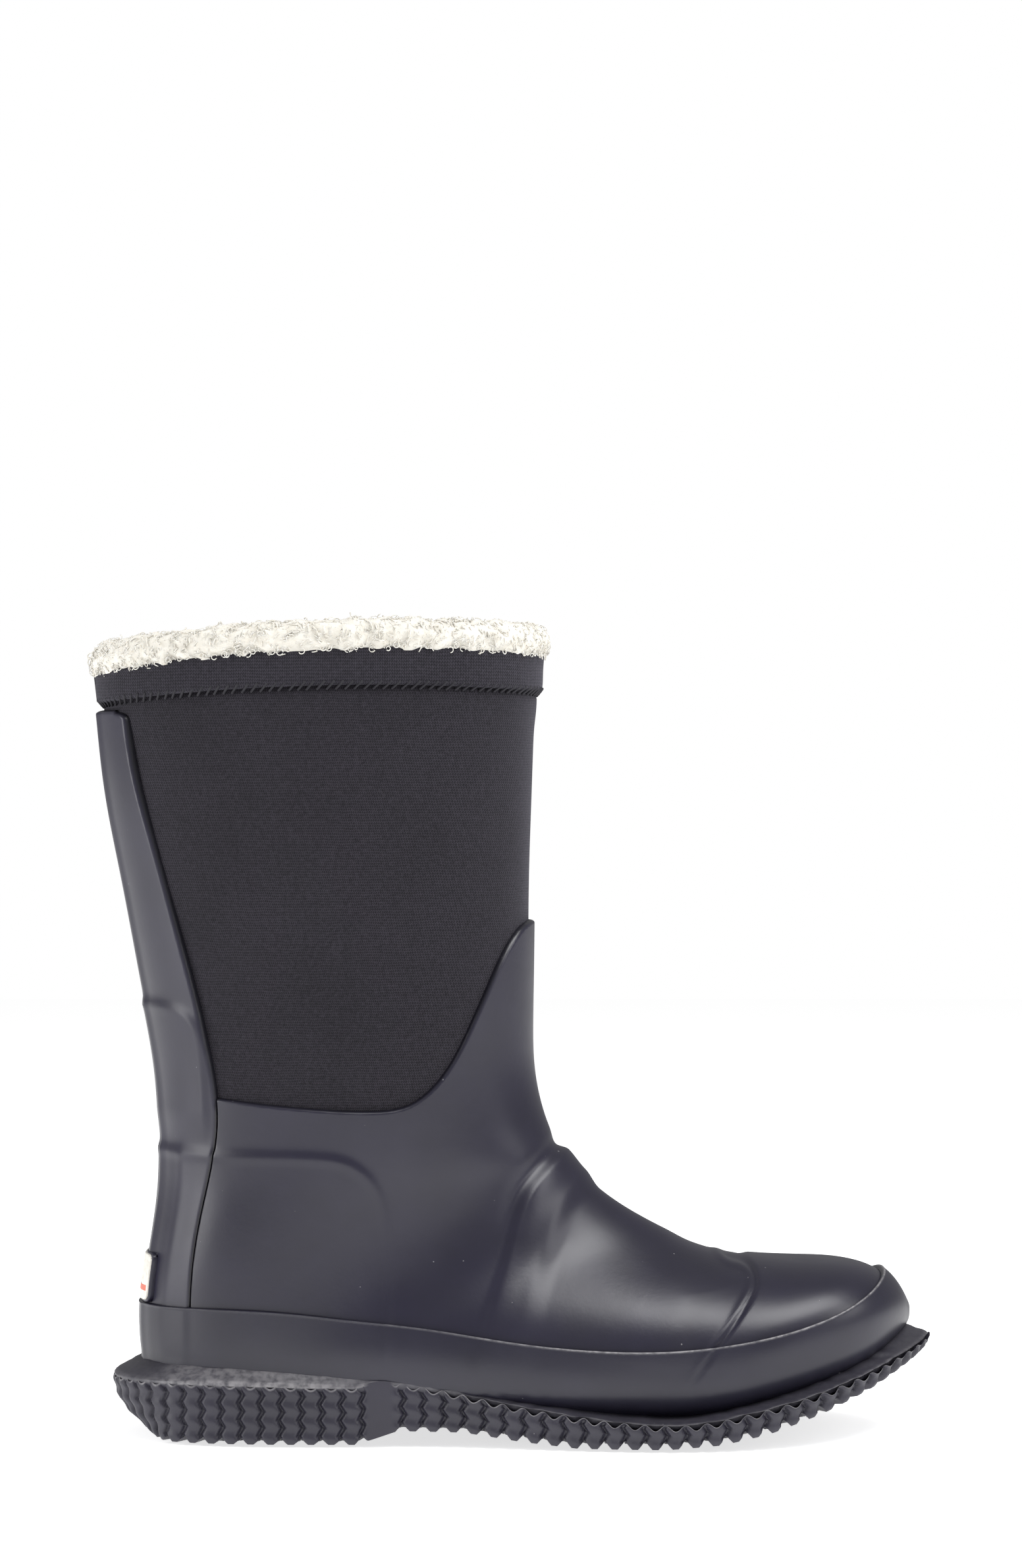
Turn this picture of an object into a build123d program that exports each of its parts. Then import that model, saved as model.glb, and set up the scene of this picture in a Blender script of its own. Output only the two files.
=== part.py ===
from build123d import *
import math
import os

# Short pull-on winter rubber boot for the right foot: a rubber galosh with a foxing band and a
# knobbly moulded outsole, a knit-faced neoprene leg and a pile lining that rolls over the top edge.
# Units are millimetres. +X points to the toe, +Y to the inner side of the foot, +Z up.
# The origin is the middle of the boot's box, on the ground.

# ---- Driving dimensions -------------------------------------------------------------------------
RUBBER = 2.0            # galosh wall
RUBBER_SKIN = 1.1       # outer part of that wall, where a reinforcement lies behind it
STRAP_PROUD = 0.6       # how far the back strap stands over the galosh
LABEL_BASE_PROUD = 1.2  # outer face of the label's rubber base
FOXING = 1.8            # foxing band and label face, over the galosh
NEOPRENE = 2.5          # bootie wall
PILE = 3.5              # lining wall
BOARD = 1.8             # insole board
LINING_SOLE = 2.0       # lining under the foot
FOOTBED_FOAM = 3.0
FOOTBED_PILE = 2.0
JOIN_GAP = 0.15         # clearance where two pieces meet
SIDE_REACH = 120.0      # half length of the cutting prisms, past both sides of the boot

SECTION_POINTS = 20     # points round each section of the last
SECTION_SPLIT = 2       # lofted sections from one listed section to the next
TOE_SECTION = 14        # the loft is made in two lengths that meet at this section
KNOT_ROUNDNESS = 2.3    # a middling roundness, used to space the points of all the sections
LUG_PITCH = 7.0
LUG_DEPTH = 2.2
LUG_FLAT = 2.2          # width of each lug's tip
LUG_SETBACK = 1.2       # how far the lugs' tips stand in from the rim
TREAD_DEPTH = 2.4
ARCH = (-49.0, -18.0)   # no grooves across the tread here
RIM = 4.5               # height of the smooth rim above the lugs
TOE_SWING = 6.0         # how far the toe leans to the inner side
SWING_START = -10.0
SWING_END = 135.0

# Side outline of the boot, paired: (front or top x, z), (back or bottom x, z), half width,
# place of the widest point along the pair, roundness at the back, roundness at the front.
SECTIONS = [
    ((12.4, 284.0), (-145.5, 279.0), 52.0, 0.50, 2.1, 2.1),
    ((11.2, 262.0), (-142.0, 256.0), 51.5, 0.50, 2.1, 2.1),
    ((9.2, 228.0), (-138.6, 222.0), 50.0, 0.50, 2.1, 2.1),
    ((8.3, 190.0), (-132.0, 188.0), 47.5, 0.50, 2.1, 2.1),
    ((7.8, 156.0), (-125.2, 152.0), 45.0, 0.49, 2.1, 2.1),
    ((7.6, 130.0), (-120.2, 124.0), 42.5, 0.48, 2.1, 2.1),
    ((10.6, 111.0), (-119.0, 104.0), 41.0, 0.47, 2.1, 2.1),
    ((15.8, 98.5), (-119.2, 86.0), 40.0, 0.45, 2.1, 2.1),
    ((21.5, 91.5), (-121.8, 66.0), 39.0, 0.42, 2.2, 2.0),
    ((28.5, 84.5), (-124.8, 44.0), 38.5, 0.40, 2.2, 2.0),
    ((37.0, 78.0), (-123.5, 24.0), 39.0, 0.40, 2.3, 2.0),
    ((47.0, 72.0), (-109.0, 15.2), 40.5, 0.42, 2.5, 2.0),
    ((58.0, 66.5), (-68.0, 14.0), 43.5, 0.44, 2.8, 2.0),
    ((70.0, 62.3), (-22.0, 11.0), 47.0, 0.42, 3.0, 2.1),
    ((83.0, 60.0), (22.0, 8.0), 49.5, 0.38, 3.2, 2.2),
    ((97.0, 59.2), (58.0, 7.4), 49.5, 0.36, 3.2, 2.3),
    ((109.5, 58.8), (87.0, 12.4), 46.0, 0.38, 3.0, 2.4),
    ((120.5, 57.0), (108.5, 19.0), 38.5, 0.42, 2.8, 2.4),
    ((128.0, 53.5), (122.5, 26.0), 28.0, 0.46, 2.5, 2.3),
    ((132.6, 48.0), (131.0, 33.5), 15.5, 0.50, 2.2, 2.2),
]
FIRST_BOTTOM = 11       # from this section on, the back outline is the underside of the foot
HEEL_CORNER = 10

# ---- Lines seen from the side, (x, z) -----------------------------------------------------------
GALOSH_TOP = [(-150.0, 119.0), (-120.0, 117.6), (-98.5, 116.0), (-83.8, 114.4), (-65.6, 112.9),
              (-46.0, 112.2), (-34.4, 114.0), (-26.4, 119.5), (-19.0, 129.0), (-13.0, 140.5),
              (-7.0, 153.5), (-2.6, 163.0), (1.6, 170.0), (6.0, 174.4), (14.0, 175.6),
              (60.0, 176.0), (150.0, 176.0)]
STRAP_END = [(-160.0, 246.6), (-133.6, 245.8), (-131.2, 244.8), (-130.4, 243.0)]
STRAP_FRONT = [(-130.4, 243.0), (-127.3, 228.0), (-120.5, 202.0), (-109.8, 163.6),
               (-101.4, 129.2), (-98.9, 110.0), (-100.4, 95.0), (-104.3, 76.8), (-107.4, 56.4),
               (-108.0, 30.0), (-108.0, -5.0)]
FOXING_TOP = [(-150.0, 44.6), (-108.0, 45.6), (-79.0, 45.2), (-52.6, 42.5), (-26.5, 39.6),
              (0.0, 35.8), (27.9, 33.2), (51.4, 32.9), (77.5, 35.4), (104.3, 42.0),
              (117.0, 47.4), (128.0, 55.0), (136.0, 64.0)]
SOLE_TOP = [(-150.0, 26.5), (-106.0, 26.3), (-64.7, 24.4), (-26.3, 20.8), (4.7, 15.5),
            (25.7, 12.6), (47.0, 10.7), (61.8, 10.9), (75.0, 13.0), (89.6, 16.2), (106.0, 20.6),
            (122.7, 26.8), (137.0, 34.0), (150.0, 41.0)]
SOLE_BOTTOM = [(-138.5, 21.0), (-135.0, 12.5), (-130.0, 5.0), (-121.0, 0.0), (-52.0, 0.0),
               (-38.0, 5.5), (-16.0, 5.0), (22.0, 0.0), (52.0, 0.0), (70.0, 2.4), (86.0, 6.4),
               (104.0, 12.6), (122.0, 20.2), (140.0, 29.5), (150.0, 35.0)]
# Outline of the sole from above: (x, outer side y, inner side y).
SOLE_PLAN = [(-136.0, 0.0, 0.0), (-131.5, -18.0, 18.0), (-119.0, -32.0, 32.0),
             (-96.0, -40.5, 40.5), (-62.0, -42.5, 40.5), (-24.0, -43.5, 38.5),
             (14.0, -49.5, 44.5), (52.0, -54.0, 54.0), (86.0, -50.0, 55.0),
             (112.0, -38.5, 48.5), (130.0, -21.5, 34.0), (141.5, -3.0, 15.0)]
TOE_TIP = (143.6, 5.5)
CUFF_TOP_BACK = 259.3
CUFF_TOP_FRONT = 265.9
CUFF_TOP_BOW = 4.0      # the edge stands this much higher at the sides
CUFF_FOLD_BACK = 248.6
CUFF_FOLD_FRONT = 252.8
CUFF_FOLD_BOW = 3.5
LEG_BACK = -143.0
LEG_FRONT = 12.0
COLLAR_HEIGHT = 9.5
COLLAR_ROUND = 3.0
ANKLE_JOIN = 100.0      # the leg and foot parts of the bootie and lining meet at this height
STITCH_BAND = 1.2
SEAM_HALF = 3.5

COUNTER_FRONT = -41.0
COUNTER_TOP = 97.0
COUNTER_ROUND = 22.0
PATCH_TOP = 147.0
TAPE_HALF = 9.0
TAPE_TOP = 246.0
INSTEP_BAND = [(-16.0, 25.0), (-6.0, 55.0), (6.0, 80.0), (20.0, 100.0), (44.0, 92.0),
               (24.0, 66.0), (13.0, 48.0), (7.0, 25.0)]
TOE_CAP = [(64.0, 20.0), (78.0, 36.0), (87.0, 47.0), (84.0, 54.0), (74.0, 70.0),
           (142.0, 70.0), (142.0, 10.0)]
LABEL_HALF = 15.0
LABEL_LOW = 46.2
LABEL_HIGH = 61.5
SHANK_BACK = -84.0
SHANK_FRONT = 11.0
SHANK_HALF = 7.0
SHANK_LOW = -1.6        # heights over the underside of the galosh
SHANK_HIGH = -0.4


# ---- Helpers ------------------------------------------------------------------------------------
def smooth_step(t):
    t = max(0.0, min(1.0, t))
    return t * t * (3 - 2 * t)


def swing(x):
    """How far the foot's middle line lies to the inner side at x."""
    return TOE_SWING * smooth_step((x - SWING_START) / (SWING_END - SWING_START))


def monotone(values):
    """A smooth curve through evenly spaced values that never overshoots them."""
    count = len(values)
    steps = [values[i + 1] - values[i] for i in range(count - 1)]
    slopes = [steps[0]] + [0.0] * (count - 2) + [steps[-1]]
    for i in range(1, count - 1):
        if steps[i - 1] * steps[i] > 0:
            slopes[i] = 2 * steps[i - 1] * steps[i] / (steps[i - 1] + steps[i])

    def value(t):
        i = min(int(t), count - 2)
        u = t - i
        rise = u * u * (3 - 2 * u)
        return (values[i] + steps[i] * rise + slopes[i] * u * (1 - u) ** 2
                - slopes[i + 1] * u * u * (1 - u))

    return value


def section_rows():
    """The sections of SECTIONS with more of them between, each a flat tuple of eight numbers."""
    flat = [(*front, *back, *rest) for front, back, *rest in SECTIONS]
    curves = [monotone(column) for column in zip(*flat)]
    count = (len(SECTIONS) - 1) * SECTION_SPLIT
    return [[curve(k / SECTION_SPLIT) for curve in curves] for k in range(count + 1)]


def inward_normals(rows):
    """Unit vectors, pointing into the boot, at each front point and each back point."""
    loop = [(r[0], r[1]) for r in rows] + [(r[2], r[3]) for r in reversed(rows)]
    normals = []
    for i in range(len(loop)):
        before = loop[max(i - 1, 0)]
        after = loop[min(i + 1, len(loop) - 1)]
        dx, dz = after[0] - before[0], after[1] - before[1]
        length = math.hypot(dx, dz)
        normals.append((dz / length, -dx / length))
    return normals[:len(rows)], list(reversed(normals[len(rows):]))


def section_knots():
    """Where the points of every section lie along it, from 0 to 1, the same for all sections."""
    places = []
    for k in range(SECTION_POINTS):
        angle = 2 * math.pi * k / SECTION_POINTS
        c, s = math.cos(angle), math.sin(angle)
        power = 2 / KNOT_ROUNDNESS
        places.append((math.copysign(abs(c) ** power, c), math.copysign(abs(s) ** power, s)))
    run = [0.0]
    for a, b in zip(places, places[1:] + places[:1]):
        run.append(run[-1] + math.dist(a, b))
    return [r / run[-1] for r in run]


SECTION_KNOTS = section_knots()
ROWS = section_rows()
FRONT_NORMALS, BACK_NORMALS = inward_normals(ROWS)


def last(inset, lift=None):
    """The boot's outer form as a solid, moved in by inset, and by lift on the underside."""
    lift = inset if lift is None else lift
    wires = []
    for i, row in enumerate(ROWS):
        front_x, front_z, back_x, back_z, half, widest, round_back, round_front = row
        share = smooth_step(i / SECTION_SPLIT - HEEL_CORNER + 0.5)
        under = inset + (lift - inset) * share
        fx = front_x + FRONT_NORMALS[i][0] * inset
        fz = front_z + FRONT_NORMALS[i][1] * inset
        bx = back_x + BACK_NORMALS[i][0] * under
        bz = back_z + BACK_NORMALS[i][1] * under
        points = []
        for k in range(SECTION_POINTS):
            angle = 2 * math.pi * k / SECTION_POINTS
            c, s = math.cos(angle), math.sin(angle)
            power = 2 / (round_back if c > 0 else round_front)
            along = abs(c) ** power
            place = widest * (1 - along) if c > 0 else widest + (1 - widest) * along
            wide = math.copysign(abs(s) ** power, s) * (half - inset)
            x = bx + (fx - bx) * place
            z = bz + (fz - bz) * place
            points.append(Vector(x, swing(x) - wide, z))
        edge = Edge.make_spline(points, periodic=True, parameters=SECTION_KNOTS)
        wires.append(Wire([edge]))
    meeting = TOE_SECTION * SECTION_SPLIT
    leg_and_heel = Solid.make_loft(wires[:meeting + 1])
    toe = Solid.make_loft(wires[meeting:])
    return leg_and_heel + toe


def side_prism(edges):
    """A prism right across the boot from a closed outline of edges in the XZ plane."""
    face = make_face(edges)
    return extrude(face, amount=SIDE_REACH, both=True)


def at_side(points):
    return [(x, 0.0, z) for x, z in points]


def side_polygon(points):
    return side_prism(Polyline(*at_side(points), close=True))


def below(points, drop=0.0, floor=-20.0):
    """Everything under a smooth line seen from the side."""
    line = [(x, z + drop) for x, z in points]
    curve = Spline(*at_side(line))
    rest = Polyline(*at_side([line[-1], (line[-1][0], floor), (line[0][0], floor), line[0]]))
    return side_prism([curve, rest])


def above(points, rise=0.0, ceiling=320.0):
    """Everything over a smooth line seen from the side."""
    return below(points, rise, ceiling)


def line_at(points, x):
    """The height of a broken line at x."""
    for (x0, z0), (x1, z1) in zip(points, points[1:]):
        if x <= x1:
            return z0 + (z1 - z0) * (x - x0) / (x1 - x0)
    return points[-1][1]


def edge_line(back_z, front_z, bow):
    """A line across the leg that stands higher in the middle, past both ends of the leg."""
    middle = (LEG_BACK + LEG_FRONT) / 2
    half = (LEG_FRONT - LEG_BACK) / 2
    points = []
    for t in (-1.3, -1.0, -0.5, 0.0, 0.5, 1.0, 1.3):
        straight = back_z + (front_z - back_z) * (t + 1) / 2
        points.append((middle + t * half, straight + bow * (1 - t * t)))
    return points


def box_between(low, high):
    size = [b - a for a, b in zip(low, high)]
    centre = [(a + b) / 2 for a, b in zip(low, high)]
    return Pos(*centre) * Box(*size)


def solids_of(shape):
    """The solids of a result, largest first, without crumbs."""
    found = sorted(shape.solids(), key=lambda s: -s.volume)
    return [s for s in found if s.volume > 0.02 * found[0].volume]


def one_solid(shape):
    return solids_of(shape)[0]


def write(name, shape):
    shape.label = name
    export_step(shape, f"parts/{name}.step")
    print(name, len(shape.solids()), round(shape.volume))


# ---- Lofted layers ------------------------------------------------------------------------------
UNDERSIDE = [s[1] for s in SECTIONS[FIRST_BOTTOM:]]
BED_LINE = ([(-150.0, UNDERSIDE[0][1])] + UNDERSIDE
            + [(UNDERSIDE[-1][0] + 12.0, UNDERSIDE[-1][1] + 14.0)])
bootie_lift = RUBBER + BOARD
lining_lift = bootie_lift + NEOPRENE
cavity_lift = lining_lift + LINING_SOLE

foxing_skin = last(-FOXING)
label_skin = last(-LABEL_BASE_PROUD)
strap_skin = last(-STRAP_PROUD)
outer_skin = last(0.0)
middle_skin = last(RUBBER_SKIN)
rubber_inside = last(RUBBER)
neoprene_inside = last(RUBBER + NEOPRENE, lining_lift)
cavity = last(RUBBER + NEOPRENE + PILE, cavity_lift)
footbed_form = last(RUBBER + NEOPRENE + PILE + 2 * JOIN_GAP, cavity_lift + JOIN_GAP)


cuff_top = edge_line(CUFF_TOP_BACK, CUFF_TOP_FRONT, CUFF_TOP_BOW)
cuff_fold = edge_line(CUFF_FOLD_BACK, CUFF_FOLD_FRONT, CUFF_FOLD_BOW)
over_ankle = box_between((-200, -SIDE_REACH, ANKLE_JOIN), (200, SIDE_REACH, 320))
under_ankle = box_between((-200, -SIDE_REACH, -20), (200, SIDE_REACH, ANKLE_JOIN))


# ---- Regions seen from the side or from above ---------------------------------------------------
def strap_side():
    curve = Spline(*at_side(STRAP_FRONT))
    back = [(STRAP_FRONT[-1][0], STRAP_FRONT[-1][1]), (-160.0, STRAP_FRONT[-1][1])] + STRAP_END
    return side_prism([curve, Polyline(*at_side(back))])


def counter_side():
    corner = COUNTER_FRONT - COUNTER_ROUND
    low = COUNTER_TOP - COUNTER_ROUND
    upper = Polyline(*at_side([(COUNTER_FRONT, -5), (-160, -5), (-160, COUNTER_TOP),
                               (corner, COUNTER_TOP)]))
    bend = 0.2929 * COUNTER_ROUND
    middle = (COUNTER_FRONT - bend, COUNTER_TOP - bend)
    arc = ThreePointArc(*at_side([(corner, COUNTER_TOP), middle, (COUNTER_FRONT, low)]))
    front = Line(*at_side([(COUNTER_FRONT, low), (COUNTER_FRONT, -5)]))
    return side_prism([upper, arc, front])


strap_region = strap_side()
counter_region = counter_side()
patch_region = strap_region & box_between((-160, -SIDE_REACH, COUNTER_TOP + 0.5),
                                          (-60, SIDE_REACH, PATCH_TOP))
tape_region = box_between((-160, -TAPE_HALF, PATCH_TOP + 1), (-100, TAPE_HALF, TAPE_TOP))
instep_region = side_polygon(INSTEP_BAND)
toe_region = side_polygon(TOE_CAP)

# ---- Rubber galosh and the reinforcements behind it ---------------------------------------------
backed = [toe_region, instep_region, counter_region, patch_region, tape_region]
pockets = rubber_inside
for region in backed:
    pockets = pockets + (middle_skin & region)

parts = {}
parts["galosh"] = one_solid(((outer_skin & below(GALOSH_TOP)) - strap_region) - pockets)
parts["back_strap"] = one_solid((strap_skin & strap_region) - pockets)
parts["toe_cap"] = one_solid((middle_skin & toe_region) - rubber_inside)
parts["instep_band"] = one_solid((middle_skin & instep_region) - rubber_inside)
parts["heel_counter"] = one_solid((middle_skin & counter_region) - rubber_inside)
parts["achilles_patch"] = one_solid((middle_skin & patch_region) - rubber_inside)
parts["back_seam_tape"] = one_solid((middle_skin & tape_region) - rubber_inside)
parts["foxing_band"] = one_solid((foxing_skin & below(FOXING_TOP) & above(SOLE_TOP))
                                 - outer_skin - parts["back_strap"])

# ---- Inside the sole ----------------------------------------------------------------------------
parts["shank"] = one_solid(below(BED_LINE, SHANK_HIGH) & above(BED_LINE, SHANK_LOW)
                           & box_between((SHANK_BACK, -SHANK_HALF, 0),
                                         (SHANK_FRONT, SHANK_HALF, 40)))
shank_slot = (below(BED_LINE, 1.0) & above(BED_LINE, SHANK_LOW)
              & box_between((SHANK_BACK, -SHANK_HALF, 0), (SHANK_FRONT, SHANK_HALF, 40)))
parts["insole_board"] = one_solid(rubber_inside & below(BED_LINE, bootie_lift))

# ---- Neoprene bootie ----------------------------------------------------------------------------
parts["neoprene_leg"] = one_solid((rubber_inside & over_ankle & below(cuff_top))
                                  - neoprene_inside)
bootie = rubber_inside & above(BED_LINE, bootie_lift) & under_ankle
parts["neoprene_foot"] = one_solid(bootie - neoprene_inside)


# ---- Lining, rolled over the top edge -----------------------------------------------------------
def collar_roll():
    """The roll of lining on the top edge, its upper outside edge rounded in two steps."""
    roll = label_skin & above(cuff_top) & below(cuff_top, COLLAR_HEIGHT)
    low = roll & below(cuff_top, COLLAR_HEIGHT - COLLAR_ROUND)
    shoulder = outer_skin & above(cuff_top) & below(cuff_top, COLLAR_HEIGHT - COLLAR_ROUND / 3)
    crown = rubber_inside & above(cuff_top) & below(cuff_top, COLLAR_HEIGHT)
    return low + shoulder + crown


wall = neoprene_inside & over_ankle & below(cuff_top, 2.0)
parts["leg_lining"] = one_solid((wall + collar_roll()) - cavity)
parts["foot_lining"] = one_solid((neoprene_inside & under_ankle) - cavity)

# ---- Footbed ------------------------------------------------------------------------------------
foam_top = cavity_lift + JOIN_GAP + FOOTBED_FOAM
parts["footbed_foam"] = one_solid(footbed_form & below(BED_LINE, foam_top))
parts["footbed_pile"] = one_solid((footbed_form & below(BED_LINE, foam_top + FOOTBED_PILE))
                                  & above(BED_LINE, foam_top))

# ---- Cuff, its seam and the label ---------------------------------------------------------------
parts["cuff_band"] = one_solid((outer_skin & above(cuff_fold) & below(cuff_top)) - rubber_inside)
parts["cuff_stitching"] = one_solid((middle_skin & above(cuff_fold, -STITCH_BAND)
                                     & below(cuff_fold)) - rubber_inside)
seam_box = box_between((-160, -SEAM_HALF, CUFF_FOLD_BACK + 0.5),
                       (-100, SEAM_HALF, CUFF_TOP_BACK - 0.3))
parts["cuff_seam_tape"] = one_solid((strap_skin & seam_box) - outer_skin)
label_box = box_between((-160, -LABEL_HALF, LABEL_LOW), (-100, LABEL_HALF, LABEL_HIGH))
parts["heel_label_base"] = one_solid((label_skin & label_box) - strap_skin)
parts["heel_label_face"] = one_solid((foxing_skin & label_box) - label_skin)


# ---- Outsole ------------------------------------------------------------------------------------
def sole_outline():
    """The smooth outline of the sole from above, as points all the way round."""
    inner = [(x, right) for x, left, right in SOLE_PLAN]
    outer = [(x, left) for x, left, right in SOLE_PLAN[-1:0:-1]]
    curve = Spline(*[(x, y, 0.0) for x, y in inner + [TOE_TIP] + outer], periodic=True)
    count = 2 * round(curve.length / LUG_PITCH / 2)
    return curve, count


def lug_outline():
    """The same outline cut into upright ribs, one every LUG_PITCH."""
    curve, count = sole_outline()
    middle = curve.center(CenterOf.BOUNDING_BOX)
    points = []
    flat = LUG_FLAT / LUG_PITCH
    for i in range(count):
        for share, depth in ((0.0, 0.0), (flat, 0.0), (0.5 + flat / 2, LUG_DEPTH)):
            t = (i + share) / count
            at = curve @ t
            along = curve % t
            inward = Vector(along.Y, -along.X, 0)
            if inward.dot(middle - at) < 0:
                inward = inward * -1
            points.append(at + inward * (LUG_SETBACK + depth))
    return make_face(Polyline(*points, close=True))


def tread_side():
    """The side view of the lug block: grooves across the tread, flats on the ground."""
    points = []
    x = SOLE_BOTTOM[0][0]
    while x < SOLE_BOTTOM[-1][0]:
        grooved = not ARCH[0] < x < ARCH[1]
        for share, deep in ((0.0, 0.0), (LUG_FLAT, 0.0), ((LUG_PITCH + LUG_FLAT) / 2, TREAD_DEPTH)):
            points.append((x + share, line_at(SOLE_BOTTOM, x + share) + (deep if grooved else 0)))
        x += LUG_PITCH
    points += [(SOLE_BOTTOM[-1][0], 60.0), (SOLE_BOTTOM[0][0], 60.0)]
    return side_polygon(points)


def outsole():
    curve, count = sole_outline()
    smooth = extrude(make_face([curve]), amount=70)
    rim = smooth & below(SOLE_TOP) & above(SOLE_TOP, -RIM) & side_polygon(
        SOLE_BOTTOM + [(150.0, 60.0), (-138.5, 60.0)])
    lugs = extrude(lug_outline(), amount=70) & below(SOLE_TOP, -RIM + 0.5) & tread_side()
    return (rim + lugs) - last(-JOIN_GAP) - (strap_skin & strap_region) - shank_slot


parts["outsole"] = one_solid(outsole())

# ---- Move the whole boot so that its box stands centred on the origin, and write it out ---------
boxes = [piece.bounding_box(optimal=True) for piece in parts.values()]
low_x, high_x = min(b.min.X for b in boxes), max(b.max.X for b in boxes)
low_y, high_y = min(b.min.Y for b in boxes), max(b.max.Y for b in boxes)
low_z, high_z = min(b.min.Z for b in boxes), max(b.max.Z for b in boxes)
to_origin = Pos(-(low_x + high_x) / 2, -(low_y + high_y) / 2, -low_z)
os.makedirs("parts", exist_ok=True)
for name, piece in parts.items():
    write(name, to_origin * piece)
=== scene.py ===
import math

import bpy
import numpy as np
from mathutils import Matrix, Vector


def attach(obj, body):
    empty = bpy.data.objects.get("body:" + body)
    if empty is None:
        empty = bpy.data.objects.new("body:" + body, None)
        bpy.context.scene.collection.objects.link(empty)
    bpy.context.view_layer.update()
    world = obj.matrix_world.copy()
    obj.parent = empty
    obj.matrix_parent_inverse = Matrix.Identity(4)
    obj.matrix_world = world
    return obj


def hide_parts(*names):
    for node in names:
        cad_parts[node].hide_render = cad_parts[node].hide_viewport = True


# A short winter rubber boot dressed over its CAD frame. Millimetres are used for the shapes, in the
# frame in which the boot was drawn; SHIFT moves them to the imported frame.

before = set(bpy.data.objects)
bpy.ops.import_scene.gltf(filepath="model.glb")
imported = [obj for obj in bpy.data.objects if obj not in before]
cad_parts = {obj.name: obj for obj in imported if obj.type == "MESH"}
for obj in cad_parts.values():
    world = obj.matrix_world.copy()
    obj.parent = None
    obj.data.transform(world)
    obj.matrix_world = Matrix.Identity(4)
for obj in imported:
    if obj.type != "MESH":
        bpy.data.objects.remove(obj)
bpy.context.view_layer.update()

MM = 0.001
SHIFT = np.array([0.528, -0.806, 0.0])
UP = np.array([0.0, 0.0, 1.0])
rng = np.random.default_rng(20261118)

# ---- The boot's form, as in the CAD source ----
SECTIONS = [
    ((12.4, 284.0), (-145.5, 279.0), 52.0, 0.50, 2.1, 2.1),
    ((11.2, 262.0), (-142.0, 256.0), 51.5, 0.50, 2.1, 2.1),
    ((9.2, 228.0), (-138.6, 222.0), 50.0, 0.50, 2.1, 2.1),
    ((8.3, 190.0), (-132.0, 188.0), 47.5, 0.50, 2.1, 2.1),
    ((7.8, 156.0), (-125.2, 152.0), 45.0, 0.49, 2.1, 2.1),
    ((7.6, 130.0), (-120.2, 124.0), 42.5, 0.48, 2.1, 2.1),
    ((10.6, 111.0), (-119.0, 104.0), 41.0, 0.47, 2.1, 2.1),
    ((15.8, 98.5), (-119.2, 86.0), 40.0, 0.45, 2.1, 2.1),
    ((21.5, 91.5), (-121.8, 66.0), 39.0, 0.42, 2.2, 2.0),
    ((28.5, 84.5), (-124.8, 44.0), 38.5, 0.40, 2.2, 2.0),
    ((37.0, 78.0), (-123.5, 24.0), 39.0, 0.40, 2.3, 2.0),
    ((47.0, 72.0), (-109.0, 15.2), 40.5, 0.42, 2.5, 2.0),
    ((58.0, 66.5), (-68.0, 14.0), 43.5, 0.44, 2.8, 2.0),
    ((70.0, 62.3), (-22.0, 11.0), 47.0, 0.42, 3.0, 2.1),
    ((83.0, 60.0), (22.0, 8.0), 49.5, 0.38, 3.2, 2.2),
    ((97.0, 59.2), (58.0, 7.4), 49.5, 0.36, 3.2, 2.3),
    ((109.5, 58.8), (87.0, 12.4), 46.0, 0.38, 3.0, 2.4),
    ((120.5, 57.0), (108.5, 19.0), 38.5, 0.42, 2.8, 2.4),
    ((128.0, 53.5), (122.5, 26.0), 28.0, 0.46, 2.5, 2.3),
    ((132.6, 48.0), (131.0, 33.5), 15.5, 0.50, 2.2, 2.2),
    ((135.2, 42.6), (134.6, 37.4), 6.0, 0.50, 2.1, 2.1),
]
TOE_SWING, SWING_START, SWING_END = 6.0, -10.0, 135.0
RUBBER, STRAP_PROUD, FOXING = 2.0, 0.6, 1.8

GALOSH_TOP = [(-150.0, 119.0), (-120.0, 117.6), (-98.5, 116.0), (-83.8, 114.4), (-65.6, 112.9),
              (-46.0, 112.2), (-34.4, 114.0), (-26.4, 119.5), (-19.0, 129.0), (-13.0, 140.5),
              (-7.0, 153.5), (-2.6, 163.0), (1.6, 170.0), (6.0, 174.4), (14.0, 175.6),
              (60.0, 176.0), (150.0, 176.0)]
STRAP_FRONT = [(-129.9, 245.0), (-127.3, 228.0), (-120.5, 202.0), (-109.8, 163.6),
               (-101.4, 129.2), (-98.9, 110.0), (-100.4, 95.0), (-104.3, 76.8), (-107.4, 56.4),
               (-108.0, 30.0), (-108.0, 0.0), (-108.0, -30.0)]
FOXING_TOP = [(-150.0, 44.6), (-108.0, 45.6), (-79.0, 45.2), (-52.6, 42.5), (-26.5, 39.6),
              (0.0, 35.8), (27.9, 33.2), (51.4, 32.9), (77.5, 35.4), (104.3, 42.0),
              (117.0, 47.4), (128.0, 55.0), (136.0, 64.0)]
SOLE_TOP = [(-150.0, 26.5), (-106.0, 26.3), (-64.7, 24.4), (-26.3, 20.8), (4.7, 15.5),
            (25.7, 12.6), (47.0, 10.7), (61.8, 10.9), (75.0, 13.0), (89.6, 16.2),
            (106.0, 20.6), (122.7, 26.8), (137.0, 34.0), (150.0, 41.0)]


def smooth_step(t):
    t = np.clip(t, 0.0, 1.0)
    return t * t * (3 - 2 * t)


def swing(x):
    return TOE_SWING * smooth_step((x - SWING_START) / (SWING_END - SWING_START))


def unit(vectors):
    return vectors / np.maximum(np.linalg.norm(vectors, axis=-1, keepdims=True), 1e-9)


def run_along(points):
    """How far along a line each of its points lies."""
    return np.concatenate([[0], np.cumsum(np.linalg.norm(np.diff(points, axis=0), axis=1))])


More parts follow.
